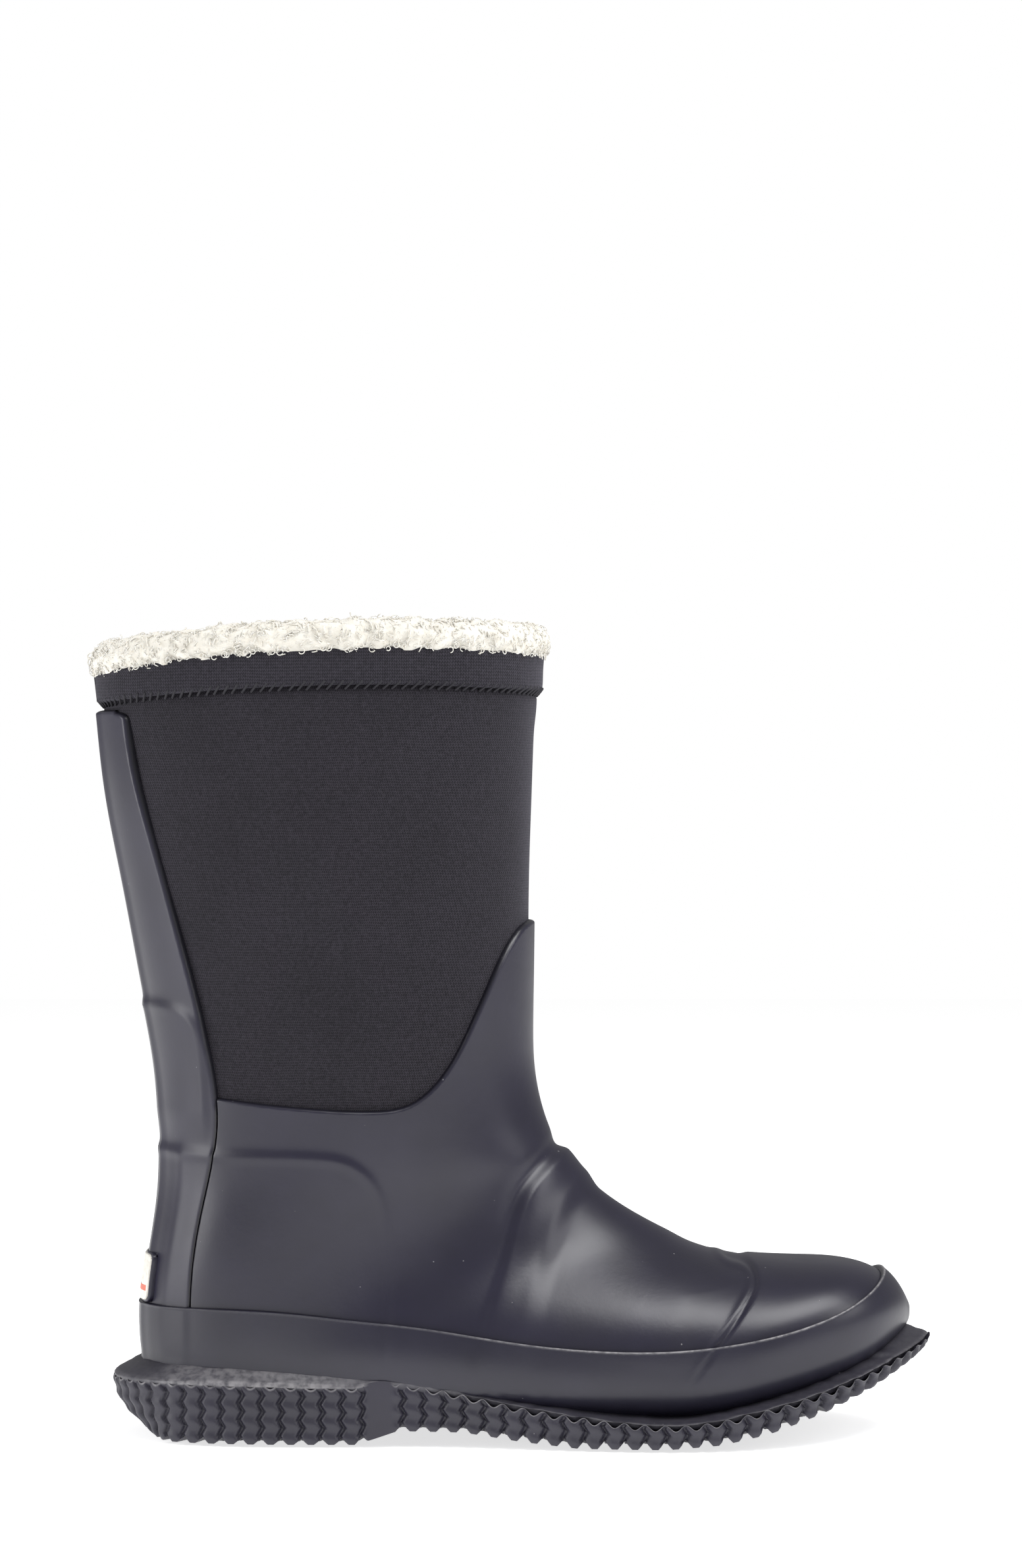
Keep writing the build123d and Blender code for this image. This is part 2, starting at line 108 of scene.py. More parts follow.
def points_at(points, run, want):
    """Where a line is after the lengths in want; run says how far along its points lie."""
    return np.stack([np.interp(want, run, values) for values in points.T], -1)


def spline_line(points, count=400):
    """A smooth open line through points, natural at its ends, as an array of count points."""
    p = np.array(points, float)
    s = run_along(p[:, :2])
    n = len(p)
    h = np.diff(s)
    a = np.zeros((n, n))
    b = np.zeros((n, p.shape[1]))
    a[0, 0] = a[-1, -1] = 1
    for i in range(1, n - 1):
        a[i, i - 1:i + 2] = h[i - 1], 2 * (h[i - 1] + h[i]), h[i]
        b[i] = 6 * ((p[i + 1] - p[i]) / h[i] - (p[i] - p[i - 1]) / h[i - 1])
    m = np.linalg.solve(a, b)
    t = np.linspace(0, s[-1], count)
    i = np.clip(np.searchsorted(s, t, side="right") - 1, 0, n - 2)
    left, right, hi = (s[i + 1] - t)[:, None], (t - s[i])[:, None], h[i][:, None]
    return (m[i] * left ** 3 + m[i + 1] * right ** 3) / (6 * hi) \
        + (p[i] / hi - m[i] * hi / 6) * left + (p[i + 1] / hi - m[i + 1] * hi / 6) * right


CHUNK = 20000


class SideLine:
    """A smooth line seen from the side, with signed distances from it."""

    def __init__(self, points, count=130, smooth=True):
        self.points = spline_line(points, count) if smooth else np.array(points, float)

    def z_at(self, x):
        order = np.argsort(self.points[:, 0])
        return np.interp(x, self.points[order, 0], self.points[order, 1])

    def distance(self, x, z):
        """Distance to the line, positive to its left when walking along it."""
        p = self.points
        a, d = p[:-1], np.diff(p, axis=0)
        length2 = (d ** 2).sum(1)
        flat_x, flat_z = x.ravel(), z.ravel()
        out = np.empty(flat_x.shape)
        for start in range(0, len(flat_x), CHUNK):
            part = slice(start, start + CHUNK)
            qx = flat_x[part, None] - a[None, :, 0]
            qz = flat_z[part, None] - a[None, :, 1]
            t = np.clip((qx * d[:, 0] + qz * d[:, 1]) / length2, 0, 1)
            ex, ez = qx - t * d[:, 0], qz - t * d[:, 1]
            dist = np.hypot(ex, ez)
            k = dist.argmin(1)
            rows = np.arange(len(k))
            side = d[k, 0] * qz[rows, k] - d[k, 1] * qx[rows, k]
            out[part] = dist[rows, k] * np.where(side >= 0, 1, -1)
        return out.reshape(x.shape)


# ---- Grids over the boot's form ----
def section_table(step=0.02, spread=0.32):
    """The numbers of SECTIONS, run smoothly from one to the next."""
    flat = np.array([(*f, *b, *rest) for f, b, *rest in SECTIONS], float)
    steps = np.diff(flat, axis=0)
    slopes = np.zeros_like(flat)
    slopes[0], slopes[-1] = steps[0], steps[-1]
    same = steps[:-1] * steps[1:] > 0
    total = steps[:-1] + steps[1:]
    slopes[1:-1] = np.where(same, 2 * steps[:-1] * steps[1:] / np.where(same, total, 1), 0)
    t = np.arange(0, len(flat) - 1 + step / 2, step)
    i = np.clip(t.astype(int), 0, len(flat) - 2)
    u = (t - i)[:, None]
    rows = flat[i] + steps[i] * u * u * (3 - 2 * u) + slopes[i] * u * (1 - u) ** 2 \
        - slopes[i + 1] * u * u * (1 - u)
    reach = int(3 * spread / step)
    kernel = np.exp(-0.5 * (np.arange(-reach, reach + 1) * step / spread) ** 2)
    kernel /= kernel.sum()
    head = 2 * rows[0] - rows[reach:0:-1]
    tail = 2 * rows[-1] - rows[-2:-reach - 2:-1]
    padded = np.vstack([head, rows, tail])
    return t, np.stack([np.convolve(c, kernel, "valid") for c in padded.T], 1)


TABLE_T, TABLE = section_table()


def rows_at(t):
    return np.stack([np.interp(t, TABLE_T, c) for c in TABLE.T], 1)


def normals_at(t):
    """Inward unit vectors in the side view, at the front and at the back of each section."""
    e = 0.05
    a, b = rows_at(np.maximum(t - e, 0)), rows_at(np.minimum(t + e, TABLE_T[-1]))
    d = b - a
    front = np.stack([d[:, 1], -d[:, 0]], 1)
    back = np.stack([-d[:, 3], d[:, 2]], 1)
    return unit(front), unit(back)


def form_grid(t, around, inset=0.0):
    """Points of the boot's form: rows at t, around points in each, evenly spaced round it.
    The first and the middle point of each row lie at the back and the front."""
    rows = rows_at(t)
    fn, bn = normals_at(t)
    fine = 720
    angle = 2 * np.pi * np.arange(fine) / fine
    c, s = np.cos(angle)[None, :], np.sin(angle)[None, :]
    fx = (rows[:, 0] + fn[:, 0] * inset)[:, None]
    fz = (rows[:, 1] + fn[:, 1] * inset)[:, None]
    bx = (rows[:, 2] + bn[:, 0] * inset)[:, None]
    bz = (rows[:, 3] + bn[:, 1] * inset)[:, None]
    half, widest = rows[:, 4:5] - inset, rows[:, 5:6]
    power = np.where(c > 0, 2 / rows[:, 6:7], 2 / rows[:, 7:8])
    along = np.abs(c) ** power
    place = np.where(c > 0, widest * (1 - along), widest + (1 - widest) * along)
    wide = np.sign(s) * np.abs(s) ** power * half
    x = bx + (fx - bx) * place
    z = bz + (fz - bz) * place
    pts = np.stack([x, swing(x) - wide, z], 2)
    out = np.empty((len(t), around, 3))
    for i, ring in enumerate(pts):
        closed = np.vstack([ring, ring[:1]])
        run = run_along(closed)
        out[i] = points_at(closed, run, np.arange(around) / around * run[-1])
    return out


def grid_normals(grid):
    """Outward unit normals of a grid that is closed along its second axis."""
    du = np.gradient(grid, axis=0)
    dv = np.roll(grid, -1, 1) - np.roll(grid, 1, 1)
    return unit(np.cross(du, dv))


SLIVER = 1e-4


class Patch:
    """A piece of surface: points, the normals they move along, quads, and faces of other sizes."""

    def __init__(self, points, normals, quads, others=()):
        self.points, self.normals = points, normals
        self.quads, self.others = quads, list(others)

    @property
    def faces(self):
        return self.quads.tolist() + self.others

    def moved(self, out):
        """The points, each moved out along its normal."""
        return self.points + self.normals * out[:, None]

    @staticmethod
    def from_grid(grid, normals=None):
        rows, around = grid.shape[:2]
        normals = grid_normals(grid) if normals is None else normals
        i, j = np.meshgrid(np.arange(rows - 1), np.arange(around), indexing="ij")
        k = (j + 1) % around
        quads = np.stack([i * around + j, (i + 1) * around + j, (i + 1) * around + k,
                          i * around + k], 2).reshape(-1, 4)
        return Patch(grid.reshape(-1, 3), normals.reshape(-1, 3), quads)

    def kept(self, measure):
        """The part where measure is positive."""
        return self.split(measure, 0.0, above_only=True)

    def split(self, measure, level, above_only=False):
        """Cuts faces along measure = level, and may drop what lies below it."""
        value = measure(self.points) - level
        value = np.where(np.abs(value) < SLIVER, SLIVER, value)
        above = value > 0
        count = above[self.quads].sum(1)
        crossed = (count > 0) & (count < 4)
        whole = ~crossed
        if above_only:
            whole &= count > 0
        added, added_normals, made, faces = [], [], {}, []
        first = len(self.points)

        def crossing(a, b):
            key = (a, b) if a < b else (b, a)
            if key not in made:
                t = value[a] / (value[a] - value[b])
                made[key] = first + len(added)
                added.append(self.points[a] + (self.points[b] - self.points[a]) * t)
                n = self.normals[a] + (self.normals[b] - self.normals[a]) * t
                added_normals.append(unit(n))
            return made[key]

        for face in self.quads[crossed].tolist() + self.others:
            count = sum(above[v] for v in face)
            if count == 0 or count == len(face):
                if count > 0 or not above_only:
                    faces.append(face)
                continue
            up, down = [], []
            for a, b in zip(face, face[1:] + face[:1]):
                (up if above[a] else down).append(a)
                if above[a] != above[b]:
                    m = crossing(a, b)
                    up.append(m)
                    down.append(m)
            faces.append(up)
            if not above_only:
                faces.append(down)
        points = np.vstack([self.points, *added])
        normals = np.vstack([self.normals, *added_normals])
        quads = self.quads[whole]
        loose = np.array(sorted({v for f in faces for v in f}), int)
        used = np.union1d(quads.ravel(), loose)
        number = np.zeros(len(points), int)
        number[used] = np.arange(len(used))
        return Patch(points[used], normals[used], number[quads],
                     [number[f].tolist() for f in faces])


def to_metres(points):
    return (np.asarray(points) + SHIFT) * MM


def make_object(name, points, faces, material, **attributes):
    mesh = bpy.data.meshes.new(name)
    mesh.from_pydata(to_metres(points).tolist(), [], faces)
    mesh.update()
    mesh.shade_smooth()
    for key, values in attributes.items():
        layer = mesh.attributes.new(key, "FLOAT", "POINT")
        layer.data.foreach_set("value", np.asarray(values, np.float32))
    obj = bpy.data.objects.new(name, mesh)
    bpy.context.scene.collection.objects.link(obj)
    mesh.materials.append(material)
    return obj


# ---- Materials ----
class Shader:
    """A small helper to write node materials with few words."""

    def __init__(self, name, **inputs):
        self.material = bpy.data.materials.new(name)
        self.material.use_nodes = True
        self.tree = self.material.node_tree
        self.bsdf = self.tree.nodes["Principled BSDF"]
        for key, value in inputs.items():
            self.bsdf.inputs[key.replace("_", " ")].default_value = value

    def node(self, kind, settings=None, **inputs):
        made = self.tree.nodes.new(kind)
        for key, value in (settings or {}).items():
            setattr(made, key, value)
        for key, value in inputs.items():
            socket = made.inputs[int(key[1:])] if key[0] == "i" and key[1:].isdigit() \
                else made.inputs[key.replace("_", " ")]
            if isinstance(value, bpy.types.NodeSocket):
                self.tree.links.new(value, socket)
            else:
                socket.default_value = value
        return made

    def math(self, operation, a, b=0.0, clamp=False):
        n = self.node("ShaderNodeMath", {"operation": operation, "use_clamp": clamp}, i0=a, i1=b)
        return n.outputs[0]

    def coordinates(self):
        return self.node("ShaderNodeTexCoord").outputs["Object"]

    def noise(self, scale, detail=3.0, rough=0.55):
        n = self.node("ShaderNodeTexNoise", None, Vector=self.coordinates(), Scale=scale,
                      Detail=detail, Roughness=rough)
        return n.outputs[0]

    def map_range(self, value, low, high, to_low, to_high):
        n = self.node("ShaderNodeMapRange", {"clamp": True}, i0=value, i1=low, i2=high, i3=to_low,
                      i4=to_high)
        return n.outputs[0]

    def mix(self, factor, a, b):
        n = self.node("ShaderNodeMix", {"data_type": "RGBA"})
        for index, value in ((0, factor), (6, a), (7, b)):
            if isinstance(value, bpy.types.NodeSocket):
                self.tree.links.new(value, n.inputs[index])
            else:
                n.inputs[index].default_value = value if index == 0 else (*value, 1.0)
        return n.outputs[2]

    def attribute(self, name):
        return self.node("ShaderNodeAttribute", {"attribute_name": name}).outputs["Fac"]

    def bump(self, height, strength, distance, normal=None):
        inputs = {"Height": height, "Strength": strength, "Distance": distance}
        if normal is not None:
            inputs["Normal"] = normal
        return self.node("ShaderNodeBump", None, **inputs).outputs[0]

    def set(self, socket, value):
        self.tree.links.new(value, self.bsdf.inputs[socket])


def rubber_material(name, colour, roughness, dust=1.0):
    """Satin rubber: faint cloudy bloom, fine grain, pin-prick dust. Where the edge value is positive
    it is paler: a painted highlight on the foxing's cut edge, and paler bands on the ledge and the
    lugs' tops. Where it is negative it is painted shade, darkened towards black.
    """
    s = Shader(name, Roughness=roughness, Specular_IOR_Level=0.5)
    cloud = s.noise(38.0, 4.0, 0.6)
    fine = s.noise(900.0, 2.0, 0.6)
    base = s.mix(s.map_range(cloud, 0.35, 0.68, 0.0, 1.0), [c * 0.88 for c in colour],
                 [c * 1.12 for c in colour])
    cells = s.node("ShaderNodeTexVoronoi", {"feature": "F1"}, Vector=s.coordinates(), Scale=210.0)
    speck_size = s.map_range(s.noise(60.0, 1.0), 0.45, 0.75, 0.0, 0.075 * dust)
    speck = s.math("LESS_THAN", cells.outputs["Distance"], speck_size)
    base = s.mix(s.math("MULTIPLY", speck, 0.35), base, (0.42, 0.41, 0.42))
    # Positive edge values mix towards pale grey: a painted highlight along the foxing's cut edge,
    # and paler bands on the ledge and the lugs' tops.
    edge = s.attribute("edge")
    pale = s.math("MULTIPLY", s.math("MAXIMUM", edge, 0.0),
                  s.map_range(s.noise(420.0, 2.0), 0.3, 0.62, 0.25, 1.0))
    base = s.mix(pale, base, (0.33, 0.32, 0.33))
    # Negative edge values mix towards black: painted shade in the gaps along the cut edges of the
    # galosh, the strap and the foxing.
    base = s.mix(s.math("MULTIPLY", edge, -1.0, clamp=True), base, (0.002, 0.002, 0.003))
    s.set("Base Color", base)
    patchy = s.map_range(s.noise(24.0, 3.0, 0.55), 0.3, 0.7, roughness - 0.045, roughness + 0.045)
    s.set("Roughness", patchy)
    soft = s.bump(cloud, 0.22, 0.0006)
    grain = s.bump(fine, 0.16, 0.00012, soft)
    s.set("Normal", grain)
    return s.material


def knit_material(name, dark, light, across, up, slant, depth):
    """Fine knitted face: rows of small slanted stitches laid out by the round and rise values,
    lighter on their tops, with painted shade in the hollows between them.
    """
    s = Shader(name, Roughness=0.86, Specular_IOR_Level=0.22)
    s.bsdf.inputs["Sheen Weight"].default_value = 0.16
    s.bsdf.inputs["Sheen Roughness"].default_value = 0.45
    s.bsdf.inputs["Sheen Tint"].default_value = (0.62, 0.61, 0.72, 1.0)
    round_mm = s.attribute("round")
    rise_mm = s.attribute("rise")
    wobble = s.math("MULTIPLY", s.math("SUBTRACT", s.noise(95.0, 3.0), 0.5), 1.1)
    rows = s.math("MULTIPLY", s.math("ADD", rise_mm, wobble), 2 * math.pi / up)
    wales = s.math("MULTIPLY", s.math("ADD", round_mm, s.math("MULTIPLY", rise_mm, slant)),
                   2 * math.pi / across)
    vee = s.math("MULTIPLY", s.math("SINE", wales), 1.25)
    stitch = s.math("SINE", s.math("ADD", rows, vee))
    column = s.math("SINE", s.math("ADD", wales, 1.3))
    height = s.math("ADD", s.math("MULTIPLY", stitch, 0.62), s.math("MULTIPLY", column, 0.38))
    fuzz = s.noise(2600.0, 2.0, 0.7)
    level = s.math("ADD", s.map_range(height, -1.0, 1.0, 0.0, 0.72),
                   s.math("MULTIPLY", fuzz, 0.42))
    # Painted shade: the colour runs from light on the stitch tops to dark in the hollows, following
    # the same height as the bump.
    colour = s.mix(s.map_range(level, 0.18, 0.98, 0.0, 1.0), dark, light)
    broad = s.noise(26.0, 4.0, 0.6)
    colour = s.mix(s.map_range(broad, 0.3, 0.7, 0.0, 0.30), colour, [c * 0.72 for c in dark])
    speckle = s.noise(820.0, 2.0, 0.7)
    colour = s.mix(s.map_range(speckle, 0.52, 0.76, 0.0, 0.30), colour, [c * 1.2 for c in light])
    colour = s.mix(s.map_range(speckle, 0.48, 0.24, 0.0, 0.55), colour, dark)
    s.set("Base Color", colour)
    s.set("Normal", s.bump(level, 0.75, depth))
    return s.material


def pile_material(name, colour, hollow_shade):
    """Curly pile fibres: cream, with painted shade, warmer and darker, in the hollows between the
    curls.
    """
    s = Shader(name, Roughness=0.92, Specular_IOR_Level=0.15)
    s.bsdf.inputs["Sheen Weight"].default_value = 0.35
    s.bsdf.inputs["Sheen Roughness"].default_value = 0.5
    s.bsdf.inputs["Sheen Tint"].default_value = (1.0, 0.98, 0.94, 1.0)
    s.bsdf.inputs["Subsurface Weight"].default_value = 0.25
    s.bsdf.inputs["Subsurface Radius"].default_value = (1.0, 0.85, 0.7)
    s.bsdf.inputs["Subsurface Scale"].default_value = 0.0015
    tufts = s.noise(330.0, 4.0, 0.65)
    # Painted shade: the low parts of the tuft noise, which are also the hollows of the bump below,
    # take the darker, warmer colour.
    tone = s.mix(s.map_range(tufts, 0.32, 0.62, 0.0, 1.0), hollow_shade, colour)
    s.set("Base Color", tone)
    fibre = s.noise(2400.0, 3.0, 0.7)
    s.set("Normal", s.bump(s.math("ADD", s.math("MULTIPLY", tufts, 0.8),
                                  s.math("MULTIPLY", fibre, 0.35)), 0.6, 0.0006))
    return s.material


def plain_material(name, colour, roughness, grain=600.0, metallic=0.0):
    """Hidden and small parts: an even colour broken up by grain."""
    s = Shader(name, Roughness=roughness, Metallic=metallic)
    cloud = s.noise(grain, 4.0, 0.6)
    s.set("Base Color", s.mix(s.map_range(cloud, 0.3, 0.7, 0.0, 1.0), [c * 0.82 for c in colour],
                              [min(1.0, c * 1.15) for c in colour]))
    s.set("Normal", s.bump(cloud, 0.3, 0.0002))
    return s.material


galosh_rubber = rubber_material("galosh_rubber", (0.0125, 0.0112, 0.0235), 0.35)
strap_rubber = rubber_material("strap_rubber", (0.0165, 0.0150, 0.0290), 0.37)
foxing_rubber = rubber_material("foxing_rubber", (0.0125, 0.0115, 0.0225), 0.38)
sole_rubber = rubber_material("sole_rubber", (0.0180, 0.0165, 0.0280), 0.50, 0.8)
ledge_rubber = rubber_material("ledge_rubber", (0.0230, 0.0215, 0.0320), 0.46, 1.2)
leg_knit = knit_material("leg_knit", (0.0030, 0.0027, 0.0042), (0.036, 0.032, 0.042), 1.05, 0.90,
                         0.35, 0.00028)
cuff_knit = knit_material("cuff_knit", (0.0040, 0.0036, 0.0055), (0.042, 0.038, 0.050), 1.00, 1.05,
                          0.0, 0.00030)
thread_dark = plain_material("thread_dark", (0.015, 0.014, 0.019), 0.8, 3000.0)
thread_light = plain_material("thread_light", (0.62, 0.60, 0.57), 0.8, 3000.0)
pile_cream = pile_material("pile_cream", (0.75, 0.725, 0.665), (0.66, 0.63, 0.56))
label_ivory = plain_material("label_ivory", (0.80, 0.77, 0.70), 0.45, 500.0)
label_coral = plain_material("label_coral", (0.72, 0.16, 0.10), 0.45, 500.0)
fabric_grey = plain_material("fabric_grey", (0.05, 0.05, 0.055), 0.8, 1500.0)
steel = plain_material("steel", (0.55, 0.55, 0.56), 0.35, 300.0, 1.0)
board_brown = plain_material("board_brown", (0.36, 0.27, 0.17), 0.85, 900.0)

# ---- Side lines, with distances in millimetres ----
galosh_line = SideLine(GALOSH_TOP)
strap_line = SideLine(STRAP_FRONT)
foxing_line = SideLine(FOXING_TOP)
sole_line = SideLine(SOLE_TOP)


def leg_edge(back_z, front_z, bow):
    """A line across the leg that stands higher in the middle."""
    x = np.linspace(-167, 37, 60)
    t = (x + 65.5) / 77.5
    return SideLine(np.stack([x, back_z + (front_z - back_z) * (t + 1) / 2 + bow * (1 - t * t)], 1),
                    smooth=False)


cuff_top_line = leg_edge(259.3, 265.9, 4.0)
cuff_fold_line = leg_edge(248.6, 252.8, 3.5)


def over(line, lift=0.0):
    """Height over a side line, less lift."""
    return lambda p: p[:, 2] - line.z_at(p[:, 0]) - lift


def beneath(line, drop=0.0):
    """Depth beneath a side line, plus drop."""
    return lambda p: line.z_at(p[:, 0]) - p[:, 2] + drop


def behind(x):
    """Distance towards the heel from x."""
    return lambda p: x - p[:, 0]


def under(line):
    """Signed distance, positive below a line that runs towards the toe."""
    return lambda p: -line.distance(p[:, 0], p[:, 2])


def behind_strap(p):
    """Positive on the strap's side of its front edge, with the rounded top end."""
    front = -strap_line.distance(p[:, 0], p[:, 2])
    corner_x, corner_z, radius = -133.9, 240.2, 5.6
    top = 246.6 - p[:, 2]
    round_end = radius - np.hypot(p[:, 0] - corner_x, p[:, 2] - corner_z)
    in_corner = (p[:, 0] > corner_x) & (p[:, 2] > corner_z)
    return np.where(in_corner, np.minimum(round_end, front), np.minimum(front, top))


# ---- Relief: ridges where reinforcements show through the rubber ----
TOE_RIDGE = SideLine([(60.0, 76.0), (70.0, 64.5), (74.2, 60.8), (78.6, 59.6), (81.6, 57.2),
                      (81.9, 54.4), (79.7, 49.8), (75.5, 43.7), (70.4, 36.8), (66.0, 31.5),
                      (60.0, 22.7), (55.0, 14.0)])
INSTEP_BACK = SideLine([(24.0, 104.0), (16.4, 96.6), (10.2, 90.6), (5.4, 85.0), (2.0, 77.8),
                        (-0.8, 68.1), (-4.6, 55.6), (-8.1, 45.0), (-12.0, 32.0), (-16.0, 20.0)])
INSTEP_FRONT = SideLine([(37.0, 92.0), (27.6, 85.3), (21.5, 81.0), (17.2, 74.1), (12.4, 60.4),
                         (9.0, 47.8), (5.7, 35.6), (2.0, 24.0)])
COUNTER_EDGE = SideLine([(-132.0, 98.2), (-112.0, 97.4), (-92.0, 96.9), (-66.0, 96.6),
                         (-54.6, 94.6), (-46.6, 88.4), (-42.6, 79.0), (-41.2, 66.0),
                         (-41.0, 44.0), (-42.0, 26.0)])
PATCH_EDGE = SideLine([(-134.0, 148.6), (-124.6, 147.8), (-114.6, 146.8), (-108.6, 144.0),
                       (-104.8, 138.2), (-103.2, 130.0), (-102.4, 118.0), (-102.0, 104.0)])


def step_at(distance, width):
    """0 well outside an edge, 1 well inside it."""
    return smooth_step(distance / width + 0.5)


def ridge_at(distance, width):
    return np.exp(-(distance / width) ** 2)


def relief(p):
    """How far the rubber stands out over its plain form, in millimetres."""
    x, y, z = p[:, 0], p[:, 1], p[:, 2]
    toe = TOE_RIDGE.distance(x, z)
    near_toe = smooth_step((x - 52) / 10) * smooth_step((z - 12) / 22)
    height = 0.75 * (step_at(toe - 1.0, 2.0) - 1.0) * ridge_at(np.minimum(toe, 0), 16.0)
    height += 0.42 * ridge_at(toe + 1.0, 1.0) - 0.38 * ridge_at(toe - 0.6, 0.8)
    height *= near_toe
    back, front = INSTEP_BACK.distance(x, z), INSTEP_FRONT.distance(x, z)
    fade = smooth_step((z - 22) / 62)
    band = step_at(back - 0.3, 4.6) * step_at(-front, 8.0)
    height += band * (0.35 + 1.25 * fade)
    height += (0.15 + 0.25 * fade) * ridge_at(back - 4.0, 4.5)
    height -= (0.2 + 0.65 * fade) * ridge_at(back + 2.4, 3.0) * smooth_step((z - 60) / 30)
    counter = COUNTER_EDGE.distance(x, z)
    height += 0.40 * step_at(-counter, 4.0) + 0.42 * ridge_at(counter, 1.9)
    patch = PATCH_EDGE.distance(x, z)
    on_back = step_at(-90.0 - x, 20.0) * smooth_step((z - 100) / 12)
    height += on_back * (0.75 * step_at(-patch, 3.0) + 0.30 * ridge_at(patch, 2.0))
    tape = np.abs(y)
    at_back = smooth_step((-92.0 - x) / 8)
    height += at_back * (0.75 * smooth_step((11.6 - tape) / 2.6)
                         + 0.55 * ridge_at(tape - 10.6, 1.7) * (z > 20))
    height += at_back * 0.40 * ridge_at(tape - 21.5, 2.2) * smooth_step((104 - z) / 12)
    return height


def wear(p):
    """Slow dents and swells of soft rubber, in millimetres."""
    x, y, z = p[:, 0], p[:, 1], p[:, 2]
    return (0.13 * np.sin(x / 21.0 + 0.8 * np.sin(z / 23.0)) * np.sin(z / 19.0 + y / 31.0)
            + 0.04 * np.sin(x / 9.0 - z / 13.0 + 1.7))


def edge_roll(distance, radius, thickness):
    """Outset of a sheet near its cut edge: full inside, curling down to the layer under it."""
    t = np.clip(distance / radius, 0, 1)
    return thickness * (1 - np.sqrt(np.clip(1 - (1 - t) ** 2, 0, 1)))


def trimmed(patch, measure, levels=(0.08, 0.25, 0.5, 0.85, 1.3)):
    """Keeps measure > 0 and adds lines of vertices beside the cut for its rounded edge."""
    patch = patch.kept(measure)
    for level in levels:
        patch = patch.split(measure, level)
    return patch


# ---- Rubber pieces ----
AROUND, STEP, LEG_END = 460, 0.045, 9.0
LEG_ROWS = int(LEG_END / STEP)
form = form_grid(np.arange(0.0, len(SECTIONS) - 1 + STEP / 2, STEP), AROUND)
nose = form[-1].mean(0)
closing = [(nose + (form[-1] - nose) * share)[None] for share in (0.8, 0.55, 0.3, 0.02)]
form = np.concatenate([form] + closing)
form_patch = Patch.from_grid(form)
form_normals = form_patch.normals.reshape(form.shape)
outline = under(galosh_line)


def build_galosh():
    p = form_patch.kept(over(sole_line, 3.0))
    p = trimmed(p, outline)
    p = trimmed(p, lambda q: -behind_strap(q), (0.15, 0.4, 0.8))
    top, side = outline(p.points), -behind_strap(p.points)
    drop = edge_roll(top, 1.0, RUBBER - 0.1) + 0.5 * edge_roll(side, 0.8, 0.9)
    out = relief(p.points) + wear(p.points) - drop
    points = p.moved(out)
    # Painted shade: darker along the galosh's top edge and along the strap's front edge, where the
    # rubber rolls down to the layer beneath.
    edge = -0.75 * ridge_at(top, 0.45) - 0.9 * ridge_at(side, 0.55)
    return make_object("galosh_skin", points, p.faces, galosh_rubber, edge=edge)


def build_strap():
    p = form_patch.kept(over(sole_line, 3.0))
    p = p.kept(behind(-60.0))
    p = trimmed(p, behind_strap)
    d = behind_strap(p.points)
    over_leg = smooth_step(over(galosh_line, -4.0)(p.points) / 4)
    thickness = RUBBER * over_leg + 0.55
    out = STRAP_PROUD + relief(p.points) + 0.6 * wear(p.points) - edge_roll(d, 1.1, 1.0) * thickness
    points = p.moved(out)
    # Painted shade: darker along the strap's front edge, in the gap where it meets the galosh.
    edge = -0.85 * ridge_at(d, 0.4)
    return make_object("strap_skin", points, p.faces, strap_rubber, edge=edge)


def build_foxing():
    p = form_patch.kept(over(sole_line, -1.5))
    measure = under(foxing_line)
    p = trimmed(p, measure, (0.06, 0.18, 0.34, 0.55, 0.9, 1.4))
    d = measure(p.points)
    height = over(sole_line)(p.points)
    strap = 0.45 * step_at(behind_strap(p.points), 3.0)
    out = FOXING + 0.55 * relief(p.points) + 0.8 * wear(p.points) + strap
    out -= edge_roll(d, 0.45, 1.75)
    out += 0.22 * ridge_at(d - 0.42, 0.28)
    out += 0.5 * smooth_step((3.0 - height) / 4.0)
    points = p.moved(out)
    # Painted highlight: a pale line just inside the foxing's cut edge, strongest at the front and
    # broken along its length. Right at the edge, painted shade, deeper towards the heel.
    broken = 0.5 + 0.5 * np.sin(points[:, 0] / 3.1 + 2.0 * np.sin(points[:, 0] / 7.7))
    front = smooth_step((points[:, 0] + 60) / 90)
    edge = ridge_at(d - 0.34, 0.26) * (0.12 + 0.88 * front) * (0.75 + 0.25 * broken)
    edge -= 0.7 * ridge_at(d, 0.2) * (1 - 0.5 * front)
    return make_object("foxing_skin", points, p.faces, foxing_rubber, edge=edge)


galosh = build_galosh()
strap = build_strap()
foxing = build_foxing()


# ---- Leg and cuff ----
def along_columns(measure, level):
    """Where the form's columns pass measure = level, from the top down: points and normals."""
    grid, normals = form[:LEG_ROWS], form_normals[:LEG_ROWS]
    value = measure(grid.reshape(-1, 3)).reshape(grid.shape[:2]) - level
    row = np.clip((value > 0).sum(0), 1, len(grid) - 1)
    column = np.arange(AROUND)
    a, b = value[row - 1, column], value[row, column]
    t = np.clip(a / (a - b), -3.0, 3.0)[:, None]
    point = grid[row - 1, column] * (1 - t) + grid[row, column] * t
    normal = normals[row - 1, column] * (1 - t) + normals[row, column] * t
    return point, unit(normal)


def knit_values(points):
    """Distances round the leg and up it, for the knitted materials."""
    middle = np.array([-65.0, 0.0])
    angle = np.arctan2(points[:, 1] - middle[1], points[:, 0] - middle[0])
    return {"round": angle * 70.0, "rise": points[:, 2]}


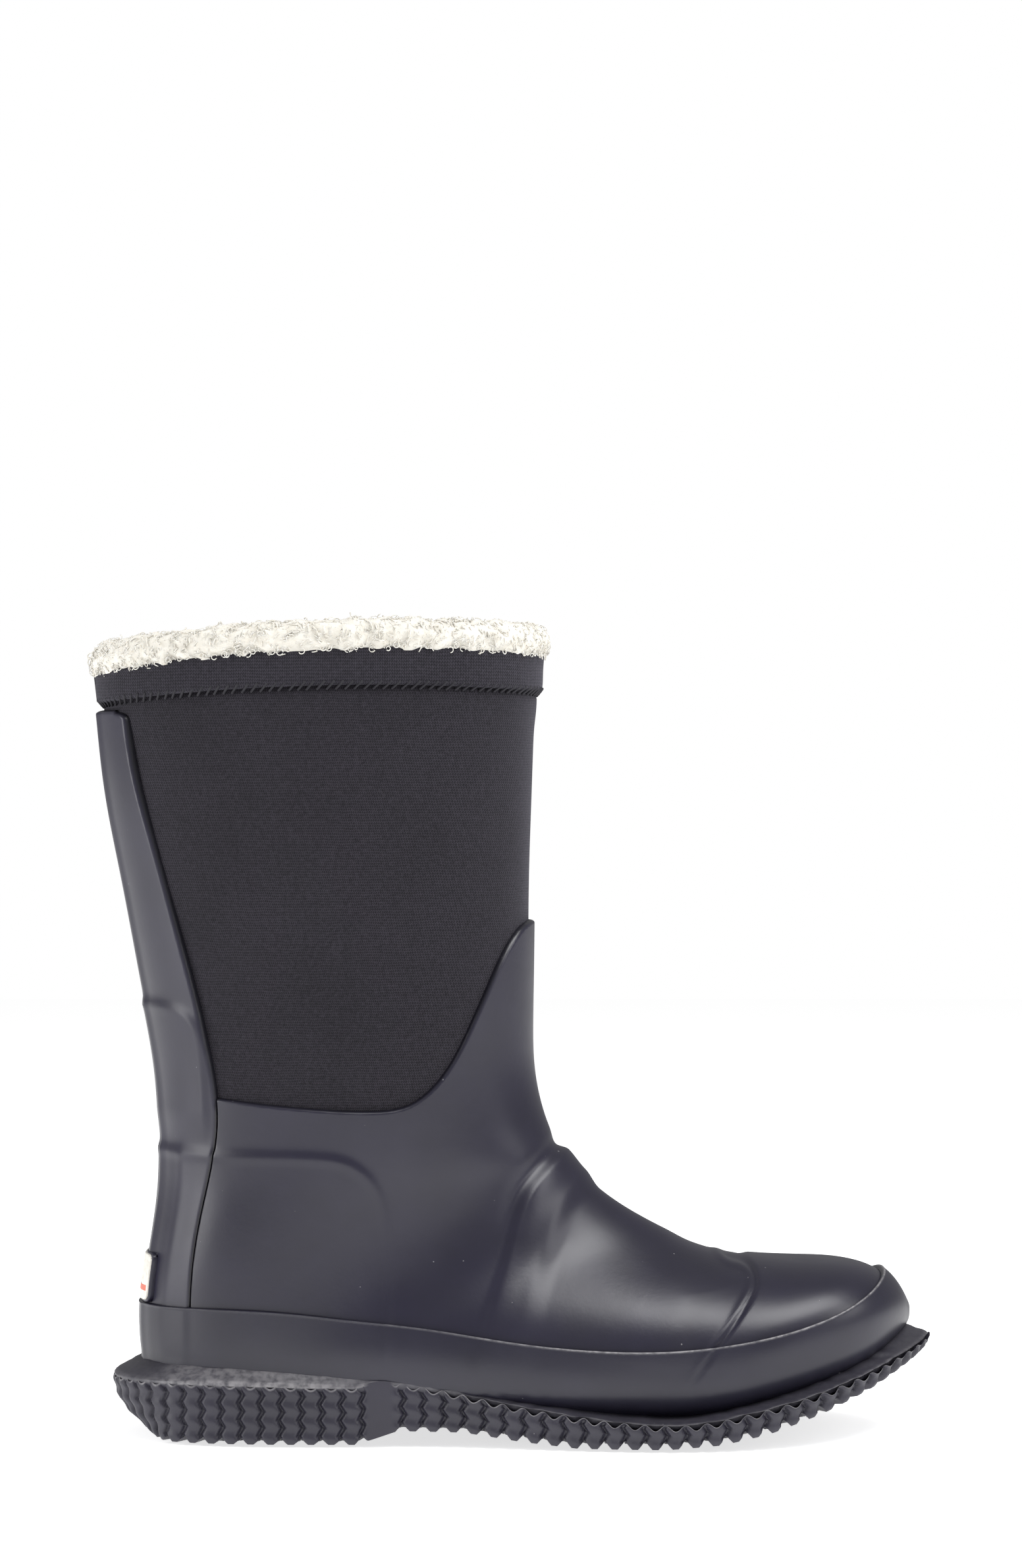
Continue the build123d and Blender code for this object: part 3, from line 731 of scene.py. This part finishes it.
def build_leg():
    p = form_patch.kept(beneath(cuff_fold_line, 3.0)).kept(over(galosh_line, -6.0))
    x, z = p.points[:, 0], p.points[:, 2]
    under_cuff = beneath(cuff_fold_line)(p.points)
    out = -RUBBER + 0.45 * ridge_at(under_cuff - 5.0, 6.0)
    out = out + 0.35 * np.sin(z / 11.0 + x / 37.0) * np.sin(x / 23.0) * smooth_step(under_cuff / 20)
    out -= 0.8 * smooth_step((2.0 - under_cuff) / 2.5)
    points = p.moved(out)
    return make_object("neoprene_knit", points, p.faces, leg_knit, **knit_values(points))


def build_cuff():
    top, fold = beneath(cuff_top_line), over(cuff_fold_line)
    p = trimmed(form_patch, top, (0.1, 0.3, 0.6, 1.0))
    p = trimmed(p, fold, (0.1, 0.3, 0.6, 1.0, 1.5))
    a, b = top(p.points), fold(p.points)
    out = -edge_roll(a, 1.0, 1.3) - edge_roll(b, 1.5, 1.9)
    out += 0.18 * np.sin(p.points[:, 0] / 5.3 + p.points[:, 2] / 9.0)
    out += 0.25 * ridge_at(b - 3.0, 3.5)
    points = p.moved(out)
    return make_object("cuff_knit_band", points, p.faces, cuff_knit,
                       **knit_values(points))


# ---- Tubes: stitches, threads and the curls of the pile ----
def tube(path, radius, sides=5):
    """Points and faces of a round tube along a path, closed at its ends by its last rings."""
    path = np.asarray(path, float)
    tangent = unit(np.gradient(path, axis=0))
    aside = np.array([0.31, 0.52, 0.79])
    first = unit(np.cross(tangent, aside))
    second = np.cross(tangent, first)
    angle = 2 * np.pi * np.arange(sides) / sides
    radii = np.broadcast_to(radius, len(path))[:, None, None]
    ring = np.cos(angle)[:, None] * first[:, None] + np.sin(angle)[:, None] * second[:, None]
    points = (path[:, None] + ring * radii).reshape(-1, 3)
    faces = [[i * sides + j, i * sides + (j + 1) % sides, (i + 1) * sides + (j + 1) % sides,
              (i + 1) * sides + j] for i in range(len(path) - 1) for j in range(sides)]
    last = (len(path) - 1) * sides
    faces.append(list(range(sides))[::-1])
    faces.append([last + j for j in range(sides)])
    return points, faces


def many_tubes(name, paths, radius, material, sides=5):
    """One object made of many tubes; radius is one number or one for each path."""
    radii = np.broadcast_to(radius, len(paths))
    points, faces, start = [], [], 0
    for path, r in zip(paths, radii):
        path_points, path_faces = tube(path, r, sides)
        points.append(path_points)
        faces += [[v + start for v in f] for f in path_faces]
        start += len(path_points)
    return make_object(name, np.concatenate(points), faces, material)


def build_cuff_stitches(pitch=3.2):
    """Slanted over-edge stitches that hold the cuff's fold to the leg."""
    fold = over(cuff_fold_line)
    upper, upper_n = along_columns(fold, 1.5)
    edge, edge_n = along_columns(fold, 0.0)
    lower, lower_n = along_columns(fold, -1.3)
    run = run_along(edge)
    count = int(run[-1] / pitch)
    slant = 1.5
    paths = []
    for i in range(count):
        s = (i + 0.5) * pitch + rng.normal(0, 0.12)
        a = points_at(upper + upper_n * 0.18, run, s + slant)
        b = points_at(edge - edge_n * 0.55, run, s + 0.15)
        c = points_at(lower - lower_n * 1.75, run, s - slant * 0.8)
        t = np.linspace(0, 1, 7)[:, None]
        paths.append(a * (1 - t) ** 2 + 2 * b * t * (1 - t) + c * t ** 2)
    return many_tubes("cuff_stitches", paths, 0.42, thread_dark, 6)


def build_seam_tape():
    side = lambda q: 3.5 - np.abs(q[:, 1])
    measures = (over(cuff_fold_line, 0.7), beneath(cuff_top_line, -0.5), side)
    p = form_patch.kept(side).kept(behind(-100.0))
    for measure in measures:
        p = trimmed(p, measure, (0.15, 0.35, 0.6))
    nearest = np.min([measure(p.points) for measure in measures], axis=0)
    out = 0.55 - edge_roll(nearest, 0.5, 0.5)
    points = p.moved(out)
    return make_object("seam_tape_back", points, p.faces, cuff_knit, **knit_values(points))


def build_label():
    """A plain ivory tab on the heel with a thin coral stripe, with round corners."""
    half, low, high, corner = 15.0, 46.2, 61.5, 2.4

    def measure(q, grow=0.0):
        h = half + grow
        a, b, c = low - grow, high + grow, corner
        dy = np.abs(q[:, 1]) - (h - c)
        dz = np.abs(q[:, 2] - (a + b) / 2) - ((b - a) / 2 - c)
        outside = np.hypot(np.maximum(dy, 0), np.maximum(dz, 0))
        return c - outside - np.minimum(np.maximum(dy, dz), 0)

    def proud(q, distance, height, roll):
        bridge = 0.9 * smooth_step(np.abs(q.points[:, 1]) / 16.0) + 0.75
        return q.points + q.normals * (bridge + height - edge_roll(distance, 0.3, roll))[:, None]

    back = form_patch.kept(behind(-100.0))
    steps = (0.06, 0.15, 0.3, 0.6)
    p = trimmed(back, lambda q: measure(q, 0.7), steps)
    base = make_object("heel_label_pad", proud(p, measure(p.points, 0.7), 1.2, 2.2), p.faces,
                       strap_rubber, edge=np.zeros(len(p.points)))
    p = trimmed(back, measure, steps)
    face = make_object("heel_label_tab", proud(p, measure(p.points), 1.9, 1.0), p.faces,
                       label_ivory)
    stripe_z = (low + high) / 2 - 3.6
    stripe = lambda q: 0.9 - np.abs(q[:, 2] - stripe_z)
    inner = back.kept(lambda q: measure(q) - 0.05)
    p = trimmed(inner, stripe, (0.15, 0.35))
    band = make_object("heel_label_stripe", proud(p, measure(p.points), 2.0, 1.0), p.faces,
                       label_coral)
    return base, face, band


def build_corner_stitch():
    """One pale stitch at the back of the cuff, with both its ends sewn in."""
    path = spline_line([(-142.0, -3.0, 262.5), (-144.0, -5.0, 264.2), (-143.6, -7.4, 263.2),
                        (-143.9, -9.2, 261.0), (-141.8, -10.4, 259.2)], 24)
    return many_tubes("corner_stitch", [path], 0.14, thread_light, 6)


# ---- Pile lining ----
INSIDE, FOOT_FLOOR = 8.8, 18.0
ROLL = [(0.6, -1.0), (-0.3, 0.6), (-1.0, 2.4), (-1.2, 4.6), (-0.5, 6.9), (1.2, 8.6), (3.6, 9.4),
        (6.2, 8.9), (8.0, 7.2), (INSIDE, 4.0), (INSIDE, 0.0), (INSIDE, -6.0)]


def clumps(p, size, seed):
    """Smooth lumpy noise from a few crossing waves, about -1 to 1."""
    waves = np.random.default_rng(seed)
    total = np.zeros(len(p))
    for _ in range(9):
        direction = unit(waves.normal(size=3))
        length = size * waves.uniform(0.7, 1.5)
        total += np.sin(p @ direction * 2 * np.pi / length + waves.uniform(0, 2 * np.pi))
    return total / 3.2


def lining_surface():
    """The rolled top of the lining, then its inside down into the foot, as a grid."""
    height = over(cuff_top_line)
    profile = spline_line(ROLL, 34)
    rings = []
    for inset, rise in profile:
        point, normal = along_columns(height, 0.0)
        rings.append(point - normal * inset + UP * rise)
    rise = profile[-1][1]
    for drop in np.arange(4.0, 150.0, 3.0):
        point, normal = along_columns(height, rise - drop)
        rings.append(point - normal * INSIDE)
    return np.array(rings)


def build_lining():
    grid = lining_surface()
    normals = grid_normals(grid)
    flat, n = grid.reshape(-1, 3), normals.reshape(-1, 3)
    lumps = 0.50 * clumps(flat, 9.0, 5) + 0.40 * clumps(flat, 4.2, 6)
    points = flat + n * lumps[:, None]
    patch = Patch.from_grid(points.reshape(grid.shape), normals)
    roll = make_object("pile_roll", points, patch.faces, pile_cream)
    return roll, points.reshape(grid.shape), normals


def build_curls(grid, normals, count=9500):
    """Short curly tufts over the roll: each is a piece of a helix lying on the lumpy surface."""
    rows = 40
    along, round_it = np.diff(grid[:rows + 1], axis=0), (np.roll(grid, -1, 1) - grid)[:rows]
    area = np.linalg.norm(np.cross(along, round_it), axis=2)
    chance = area.reshape(-1) / area.sum()
    picks = rng.choice(len(chance), count, p=chance)
    paths, radii = [], []
    for pick in picks:
        i, j = divmod(pick, grid.shape[1])
        a, b = rng.uniform(size=2)
        jn = (j + 1) % grid.shape[1]
        base = (grid[i, j] * (1 - b) + grid[i, jn] * b) * (1 - a) \
            + (grid[i + 1, j] * (1 - b) + grid[i + 1, jn] * b) * a
        n = normals[i, j]
        side = rng.normal(size=3)
        side = unit(side - n * (side @ n))
        other = np.cross(n, side)
        size = rng.uniform(0.50, 1.25)
        turn = rng.uniform(1.1, 2.1) * np.pi
        start = rng.uniform(0, 2 * np.pi)
        t = np.linspace(0, 1, 11)
        angle = start + turn * t
        lift = rng.uniform(0.1, 0.8)
        drift = rng.uniform(0.2, 1.1)
        tilt = rng.uniform(0.15, 0.95)
        ring_n = (np.sin(angle) - np.sin(start)) * size * tilt
        along = (np.cos(angle) - np.cos(start)) * size
        path = base + n * (ring_n + lift * np.sin(np.pi * t))[:, None] * 0.9 \
            + side * along[:, None] + other * (drift * (t - 0.5) * 2.0)[:, None]
        paths.append(path)
        radii.append(rng.uniform(0.14, 0.26))
    return many_tubes("pile_curls", paths, radii, pile_cream, 4)


def build_edge_loops(count=230):
    """Single curls that hang over the cuff's top edge."""
    height = over(cuff_top_line)
    ring, normal = along_columns(height, 0.0)
    paths = []
    for i in rng.integers(0, AROUND, count):
        size = rng.uniform(0.45, 1.15)
        along = unit(ring[(i + 3) % AROUND] - ring[i - 3])
        angle = np.linspace(0, rng.uniform(1.3, 2.0) * np.pi, 13) + rng.uniform(0, 2 * np.pi)
        centre = ring[i] + normal[i] * rng.uniform(0.25, 0.7)
        centre = centre + UP * rng.uniform(-0.9, 0.9)
        lean = rng.uniform(-0.35, 0.35)
        path = centre + along * (np.cos(angle) * size)[:, None] \
            + UP * (np.sin(angle) * size)[:, None] \
            + normal[i] * (np.sin(angle + 0.8) * lean)[:, None]
        paths.append(path)
    return many_tubes("pile_edge_loops", paths, 0.17, pile_cream, 5)


def build_foot_lining():
    """The lining's inside from the ankle into the toe, seen only down the leg."""
    grid = form_grid(np.arange(5.4, 18.6, 0.12), 180, inset=INSIDE)
    grid[:, :, 2] = np.maximum(grid[:, :, 2], FOOT_FLOOR)
    normals = -grid_normals(grid)
    flat, n = grid.reshape(-1, 3), normals.reshape(-1, 3)
    points = flat + n * (0.8 * clumps(flat, 9.0, 15))[:, None]
    patch = Patch.from_grid(grid)
    return make_object("pile_foot", points, [f[::-1] for f in patch.faces], pile_cream)


def build_footbed():
    """The footbed as a crowned pad. It cuts into the insole board and the foot's pile in places."""
    reach = 112.0
    angle = np.linspace(0, 2 * np.pi, 160, endpoint=False)
    x = reach * np.cos(angle)
    y = np.interp(x, [-reach, -60, 0, 60, reach], [27, 29, 29, 38, 30]) * np.sin(angle)
    rise = 15.0 * smooth_step((x - 50.0) / (reach - 50.0))
    rings = [np.column_stack([x * share, y * share, z + rise * share])
             for share, z in ((0.02, 14.0), (0.7, 13.2), (0.96, 13.6), (1.0, 15.4), (0.95, 17.2),
                              (0.8, 18.2), (0.5, 19.0), (0.25, 19.3), (0.02, 19.4))]
    patch = Patch.from_grid(np.array(rings))
    return make_object("footbed_pad", patch.points, patch.faces, pile_cream)


# ---- Sole ----
SOLE_PLAN = [(-136.0, 0.0, 0.0), (-131.5, -18.0, 18.0), (-119.0, -32.0, 32.0),
             (-96.0, -40.5, 40.5), (-62.0, -42.5, 40.5), (-24.0, -43.5, 38.5),
             (14.0, -49.5, 44.5), (52.0, -54.0, 54.0), (86.0, -50.0, 55.0),
             (112.0, -38.5, 48.5), (130.0, -21.5, 34.0), (141.5, -3.0, 15.0)]
TOE_TIP = (143.6, 5.5)
SOLE_BOTTOM = SideLine([(-150.0, 0.0), (-121.0, 0.0), (-52.0, 0.0), (-45.0, 2.2), (-38.0, 4.6),
                        (-16.0, 4.4), (3.0, 1.8), (22.0, 0.0), (52.0, 0.0), (70.0, 1.4), (86.0, 4.6),
                        (104.0, 10.4), (122.0, 17.4), (140.0, 26.0), (150.0, 31.0)], smooth=False)
COLUMN, PER_COLUMN, LUG_STEPS = 6.8, 14, 46
BEVEL, TREAD_PITCH = 1.1, 7.0
LEDGE_DROP = [(-140.0, 5.6), (-110.0, 4.6), (-70.0, 3.6), (-52.0, 2.6), (-44.0, 0.3), (-36.0, 0.2),
              (-20.0, 0.6), (0.0, 1.0), (40.0, 1.1), (80.0, 0.9), (112.0, 1.0), (130.0, 2.6),
              (144.0, 4.8)]


def closed_spline(points, count):
    """A smooth closed curve through points, evenly spaced, as count points."""
    p = np.array(points, float)
    n = len(p)
    wrapped = np.vstack([p[-4:], p, p[:5]])
    fine = 6000
    line = spline_line(wrapped, fine)
    s = run_along(wrapped)
    total = np.linspace(0, s[-1], fine)
    inside = (total >= s[4]) & (total <= s[4 + n])
    line = line[inside]
    run = run_along(line)
    return points_at(line, run, np.arange(count) / count * run[-1]), run[-1]


def sole_outline():
    inner = [(x, right) for x, left, right in SOLE_PLAN]
    outer = [(x, left) for x, left, right in SOLE_PLAN[-1:0:-1]]
    ring = inner + [TOE_TIP] + outer
    length = closed_spline(ring, 400)[1]
    columns = int(round(length / COLUMN))
    points, length = closed_spline(ring, columns * PER_COLUMN)
    ahead = np.roll(points, -1, 0) - np.roll(points, 1, 0)
    inward = unit(np.stack([-ahead[:, 1], ahead[:, 0]], 1))
    middle = points.mean(0)
    if ((middle - points) * inward).sum() < 0:
        inward = -inward
    return points, inward


def foxing_foot():
    """Plan points where the foxing's surface meets the top of the sole."""
    grid = form + form_normals * FOXING
    value = grid[:, :, 2] - sole_line.z_at(grid[:, :, 0])
    found = []
    for axis in (0, 1):
        other = np.roll(value, -1, axis)
        moved = np.roll(grid, -1, axis)
        hit = (value * other < 0)
        if axis == 0:
            hit[-1] = False
        t = (value[hit] / (value[hit] - other[hit]))[:, None]
        found.append(grid[hit] * (1 - t) + moved[hit] * t)
    return np.vstack(found)[:, :2]


def triangle_wave(t):
    return 1 - 4 * np.abs(t - np.floor(t) - 0.5)


class Rim:
    """The sole's outline seen from above, with the heights that follow it round."""

    def __init__(self):
        self.outline, self.inward = sole_outline()
        x = self.x = self.outline[:, 0]
        foot = foxing_foot()
        gap = np.array([np.hypot(*(foot - q).T).min() for q in self.outline])
        kernel = np.hanning(41)
        kernel /= kernel.sum()
        self.gap = np.convolve(np.concatenate([gap[-20:], gap, gap[:20]]), kernel, "valid")
        self.across = np.arange(len(x)) / PER_COLUMN % 1 - 0.5
        self.lugs = 1 - smooth_step((x + 49.5) / 2.5) * smooth_step((-38.0 - x) / 2.5)
        self.top, self.bottom = sole_line.z_at(x), SOLE_BOTTOM.z_at(x)
        self.drop = np.interp(x, *np.array(LEDGE_DROP).T)
        self.ledge_foot = self.top - self.drop
        self.front = np.interp(x, [-40.0, 10.0], [0.0, 1.0])

    def ring(self, inset, z):
        return np.column_stack([self.outline + self.inward * inset[:, None], z])


def build_ledge(rim):
    """From under the foxing, sloping out to the rim, over its lip and in behind the lugs."""
    gap, top, foot = rim.gap, rim.top, rim.ledge_foot
    profile = [(gap + 2.0, top + 0.9), (gap + 0.4, top + 0.4), (gap - 0.05, top + 0.05)]
    for share in (0.12, 0.25, 0.4, 0.55, 0.7, 0.85, 0.95):
        profile.append((gap * (1 - share), top - rim.drop * share ** 1.15))
    lip = np.interp(rim.x, [-60.0, -20.0], [1.0, 0.35])
    tuck = 0.55 * rim.front
    profile += [(0.05 + 0.1 * rim.front, foot - 0.25 * lip), (tuck, foot - 0.8 * lip),
                (0.15 + tuck, foot - 1.5), (0.6 + tuck, foot - 2.3), (2.4 + tuck, foot - 3.2)]
    points = np.vstack([rim.ring(inset, z) for inset, z in profile])
    rough = clumps(points * (0.35, 0.35, 2.2), 4.5, 21)
    streaks = clumps(points * (0.12, 0.12, 3.4), 4.0, 22)
    points[:, 2] += 0.16 * rough + 0.14 * streaks
    patch = Patch.from_grid(points.reshape(len(profile), -1, 3))
    rear = smooth_step((-30.0 - rim.x) / 40.0) * smooth_step((rim.x + 126.0) / 16.0)
    pale = np.zeros((len(profile), len(rim.x)))
    pale[3:10] = 0.30 * rear + 0.04
    pale[9:12] = 0.42 * rear + 0.16
    return make_object("sole_ledge", patch.points, patch.faces, ledge_rubber, edge=pale.ravel())


def build_lugs(rim):
    """The wall of staggered lugs that end in teeth, and the ring of its lowest points."""
    x, lugs = rim.x, rim.lugs
    reach = np.interp(x, [-60.0, 10.0, 110.0, 138.0], [1.0, 1.3, 1.2, 0.6])
    start = rim.ledge_foot - (1.5 * np.cos(np.pi * rim.across) ** 2 + 0.1) * lugs * reach
    tooth = np.clip((np.abs(2 * rim.across) - 0.30) / 0.70, 0, 1)
    tooth_height = np.interp(x, [-60, 0], [1.9, 2.8]) * lugs
    end = np.minimum(rim.bottom + BEVEL + tooth * tooth_height, start - 0.8)
    rows = np.interp(x, [-52, -36, -20, 0, 20, 60, 100, 144], [4, 3.2, 3, 2.6, 2.2, 2, 2, 1.4])
    heel = np.clip((-116.0 - x) / 20.0, 0, 1)
    rings = []
    for share in np.linspace(0, 1, LUG_STEPS):
        z = start + (end - start) * share
        row = (z - rim.bottom) / (rim.ledge_foot - rim.bottom) * rows
        zigzag = 0.125 * triangle_wave(row + 0.25)
        across = np.abs(2 * ((rim.across + zigzag + 0.5) % 1 - 0.5))
        groove = smooth_step((across - 0.58) / 0.42) * smooth_step((start - z + 0.25) / 1.6)
        valley = 0.5 + 0.5 * np.cos(2 * np.pi * row)
        inset = 1.8 * groove + 0.55 * valley * (1 - groove) + 0.16 * across
        inset = inset * lugs + 0.35 * (1 - lugs)
        inset += 0.8 * share ** 1.5 + 13.0 * heel * share ** 2.3
        inset -= (0.45 + 0.7 * rim.front) * (1 - share)
        rings.append(rim.ring(inset, z))
    patch = Patch.from_grid(np.array(rings))
    pale = np.zeros((LUG_STEPS, len(x)))
    pale[0:2] = 0.45 * lugs
    wall = make_object("sole_lugs", patch.points, patch.faces, sole_rubber, edge=pale.ravel())
    return wall, rings[-1]


def build_tread(rim, lug_feet):
    """Rings from the lugs' lower edge to the sole's middle: pleats near the edge, then studs."""
    spine_x = np.clip(lug_feet[:, 0], -92.0, 96.0)
    spine = np.column_stack([spine_x, 0.4 * swing(spine_x)])
    rings = [lug_feet]
    for share in [0.015, 0.04, 0.07, 0.11, 0.16, *np.linspace(0.2, 1.0, 22)]:
        xy = lug_feet[:, :2] * (1 - share) + spine * share
        x, y = xy.T
        a, b = x / TREAD_PITCH, y / TREAD_PITCH
        across = np.abs(triangle_wave(a + 0.2 * triangle_wave(b)))
        along = np.abs(triangle_wave(b + 0.2 * triangle_wave(a)))
        grooves = 1.9 * smooth_step((np.maximum(across, along) - 0.62) / 0.38)
        arch = smooth_step((x + 52) / 4) * smooth_step((-14 - x) / 4)
        near = 1 - smooth_step((share - 0.20) / 0.20)
        z = SOLE_BOTTOM.z_at(x) + grooves * (1 - near) * (1 - arch)
        z += (lug_feet[:, 2] - rim.bottom - BEVEL * (1 - near)) * near
        rings.append(np.column_stack([xy, z]))
    patch = Patch.from_grid(np.array(rings))
    return make_object("sole_tread", patch.points, patch.faces, sole_rubber,
                       edge=np.zeros(len(patch.points)))


leg = build_leg()
cuff = build_cuff()
stitches = build_cuff_stitches()
seam = build_seam_tape()
corner_stitch = build_corner_stitch()
label_pad, label_tab, label_stripe = build_label()
roll, roll_grid, roll_normals = build_lining()
curls = build_curls(roll_grid, roll_normals)
edge_loops = build_edge_loops()
foot_pile = build_foot_lining()
footbed = build_footbed()
rim = Rim()
ledge = build_ledge(rim)
lugs, lug_feet = build_lugs(rim)
tread = build_tread(rim, lug_feet)

# ---- Which CAD pieces these stand for ----
STANDS_FOR = [
    (galosh, ("galosh",), "galosh_rubber"),
    (strap, ("back_strap",), "strap_rubber"),
    (foxing, ("foxing_band",), "foxing_rubber"),
    (leg, ("neoprene_leg", "neoprene_foot"), "neoprene"),
    (cuff, ("cuff_band",), "cuff_knit"),
    (stitches, ("cuff_stitching",), "thread"),
    (corner_stitch, (), "thread"),
    (seam, ("cuff_seam_tape",), "seam_tape"),
    (label_pad, ("heel_label_base",), "label_base"),
    (label_tab, ("heel_label_face",), "label_face"),
    (label_stripe, (), "label_face"),
    (roll, ("leg_lining",), "pile"),
    (curls, (), "pile"),
    (edge_loops, (), "pile"),
    (foot_pile, ("foot_lining", "footbed_pile"), "pile"),
    (footbed, ("footbed_foam",), "footbed_foam"),
    (ledge, (), "outsole_rubber"),
    (lugs, ("outsole",), "outsole_rubber"),
    (tread, (), "outsole_rubber"),
]
for piece, nodes, slot in STANDS_FOR:
    if nodes:
        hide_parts(*nodes)
    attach(piece, "root")

CARRIED = {"shank": (steel, "shank_steel"), "insole_board": (board_brown, "board"),
           "back_seam_tape": (fabric_grey, "reinforcement")}
for name in ("toe_cap", "instep_band", "heel_counter", "achilles_patch"):
    CARRIED[name] = (galosh_rubber, "reinforcement")
for name, (material, slot) in CARRIED.items():
    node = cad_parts[name]
    node.data.materials.clear()
    node.data.materials.append(material)

# ---- Floor, world, lights and camera ----
def build_floor(size=3.0):
    mesh = bpy.data.meshes.new("floor")
    mesh.from_pydata([(-size, -size, 0), (size, -size, 0), (size, size, 0), (-size, size, 0)], [],
                     [(0, 1, 2, 3)])
    mesh.materials.append(floor_white)
    floor = bpy.data.objects.new("floor", mesh)
    bpy.context.scene.collection.objects.link(floor)
    return floor


floor_shader = Shader("floor_white", Roughness=0.9, Specular_IOR_Level=0.1)
floor_shader.bsdf.inputs["Base Color"].default_value = (0.95, 0.95, 0.95, 1.0)
floor_shader.bsdf.inputs["Emission Color"].default_value = (1.0, 1.0, 1.0, 1.0)
floor_shader.bsdf.inputs["Emission Strength"].default_value = 0.68
floor_white = floor_shader.material
floor = build_floor()

scene = bpy.context.scene
scene.view_settings.view_transform = "Standard"
scene.view_settings.look = "None"


def build_world(seen=1.0, lit=0.30):
    """White where the camera sees it, dimmer as a light."""
    world = bpy.data.worlds.new("studio")
    scene.world = world
    world.use_nodes = True
    tree = world.node_tree
    background = tree.nodes["Background"]
    background.inputs["Color"].default_value = (1.0, 1.0, 1.0, 1.0)
    path = tree.nodes.new("ShaderNodeLightPath")
    span = tree.nodes.new("ShaderNodeMapRange")
    span.inputs["To Min"].default_value = lit
    span.inputs["To Max"].default_value = seen
    tree.links.new(path.outputs["Is Camera Ray"], span.inputs["Value"])
    tree.links.new(span.outputs[0], background.inputs["Strength"])


build_world()


def softbox(name, place, target, width, height, power):
    data = bpy.data.lights.new(name, "AREA")
    data.shape = "RECTANGLE"
    data.size, data.size_y = width, height
    data.energy = power
    lamp = bpy.data.objects.new(name, data)
    lamp.location = place
    lamp.rotation_euler = (Vector(target) - Vector(place)).to_track_quat("-Z", "Y").to_euler()
    scene.collection.objects.link(lamp)
    return lamp


aim = (0.0, 0.0, 0.12)
softbox("soft_top", (0.40, -0.40, 1.10), aim, 0.8, 0.6, 12.0)
softbox("soft_right", (1.15, -0.50, 0.75), aim, 0.5, 0.8, 4.8)
softbox("soft_left", (-1.20, -0.35, 0.45), aim, 0.5, 0.9, 8.0)

camera_data = bpy.data.cameras.new("camera")
camera_data.lens = 100.39
camera_data.sensor_width = 36.0
camera_data.clip_end = 20.0
camera = bpy.data.objects.new("camera", camera_data)
camera.location = to_metres([0.0, -1500.0, 221.6])
camera.rotation_euler = (math.pi / 2, 0, 0)
scene.collection.objects.link(camera)
scene.camera = camera
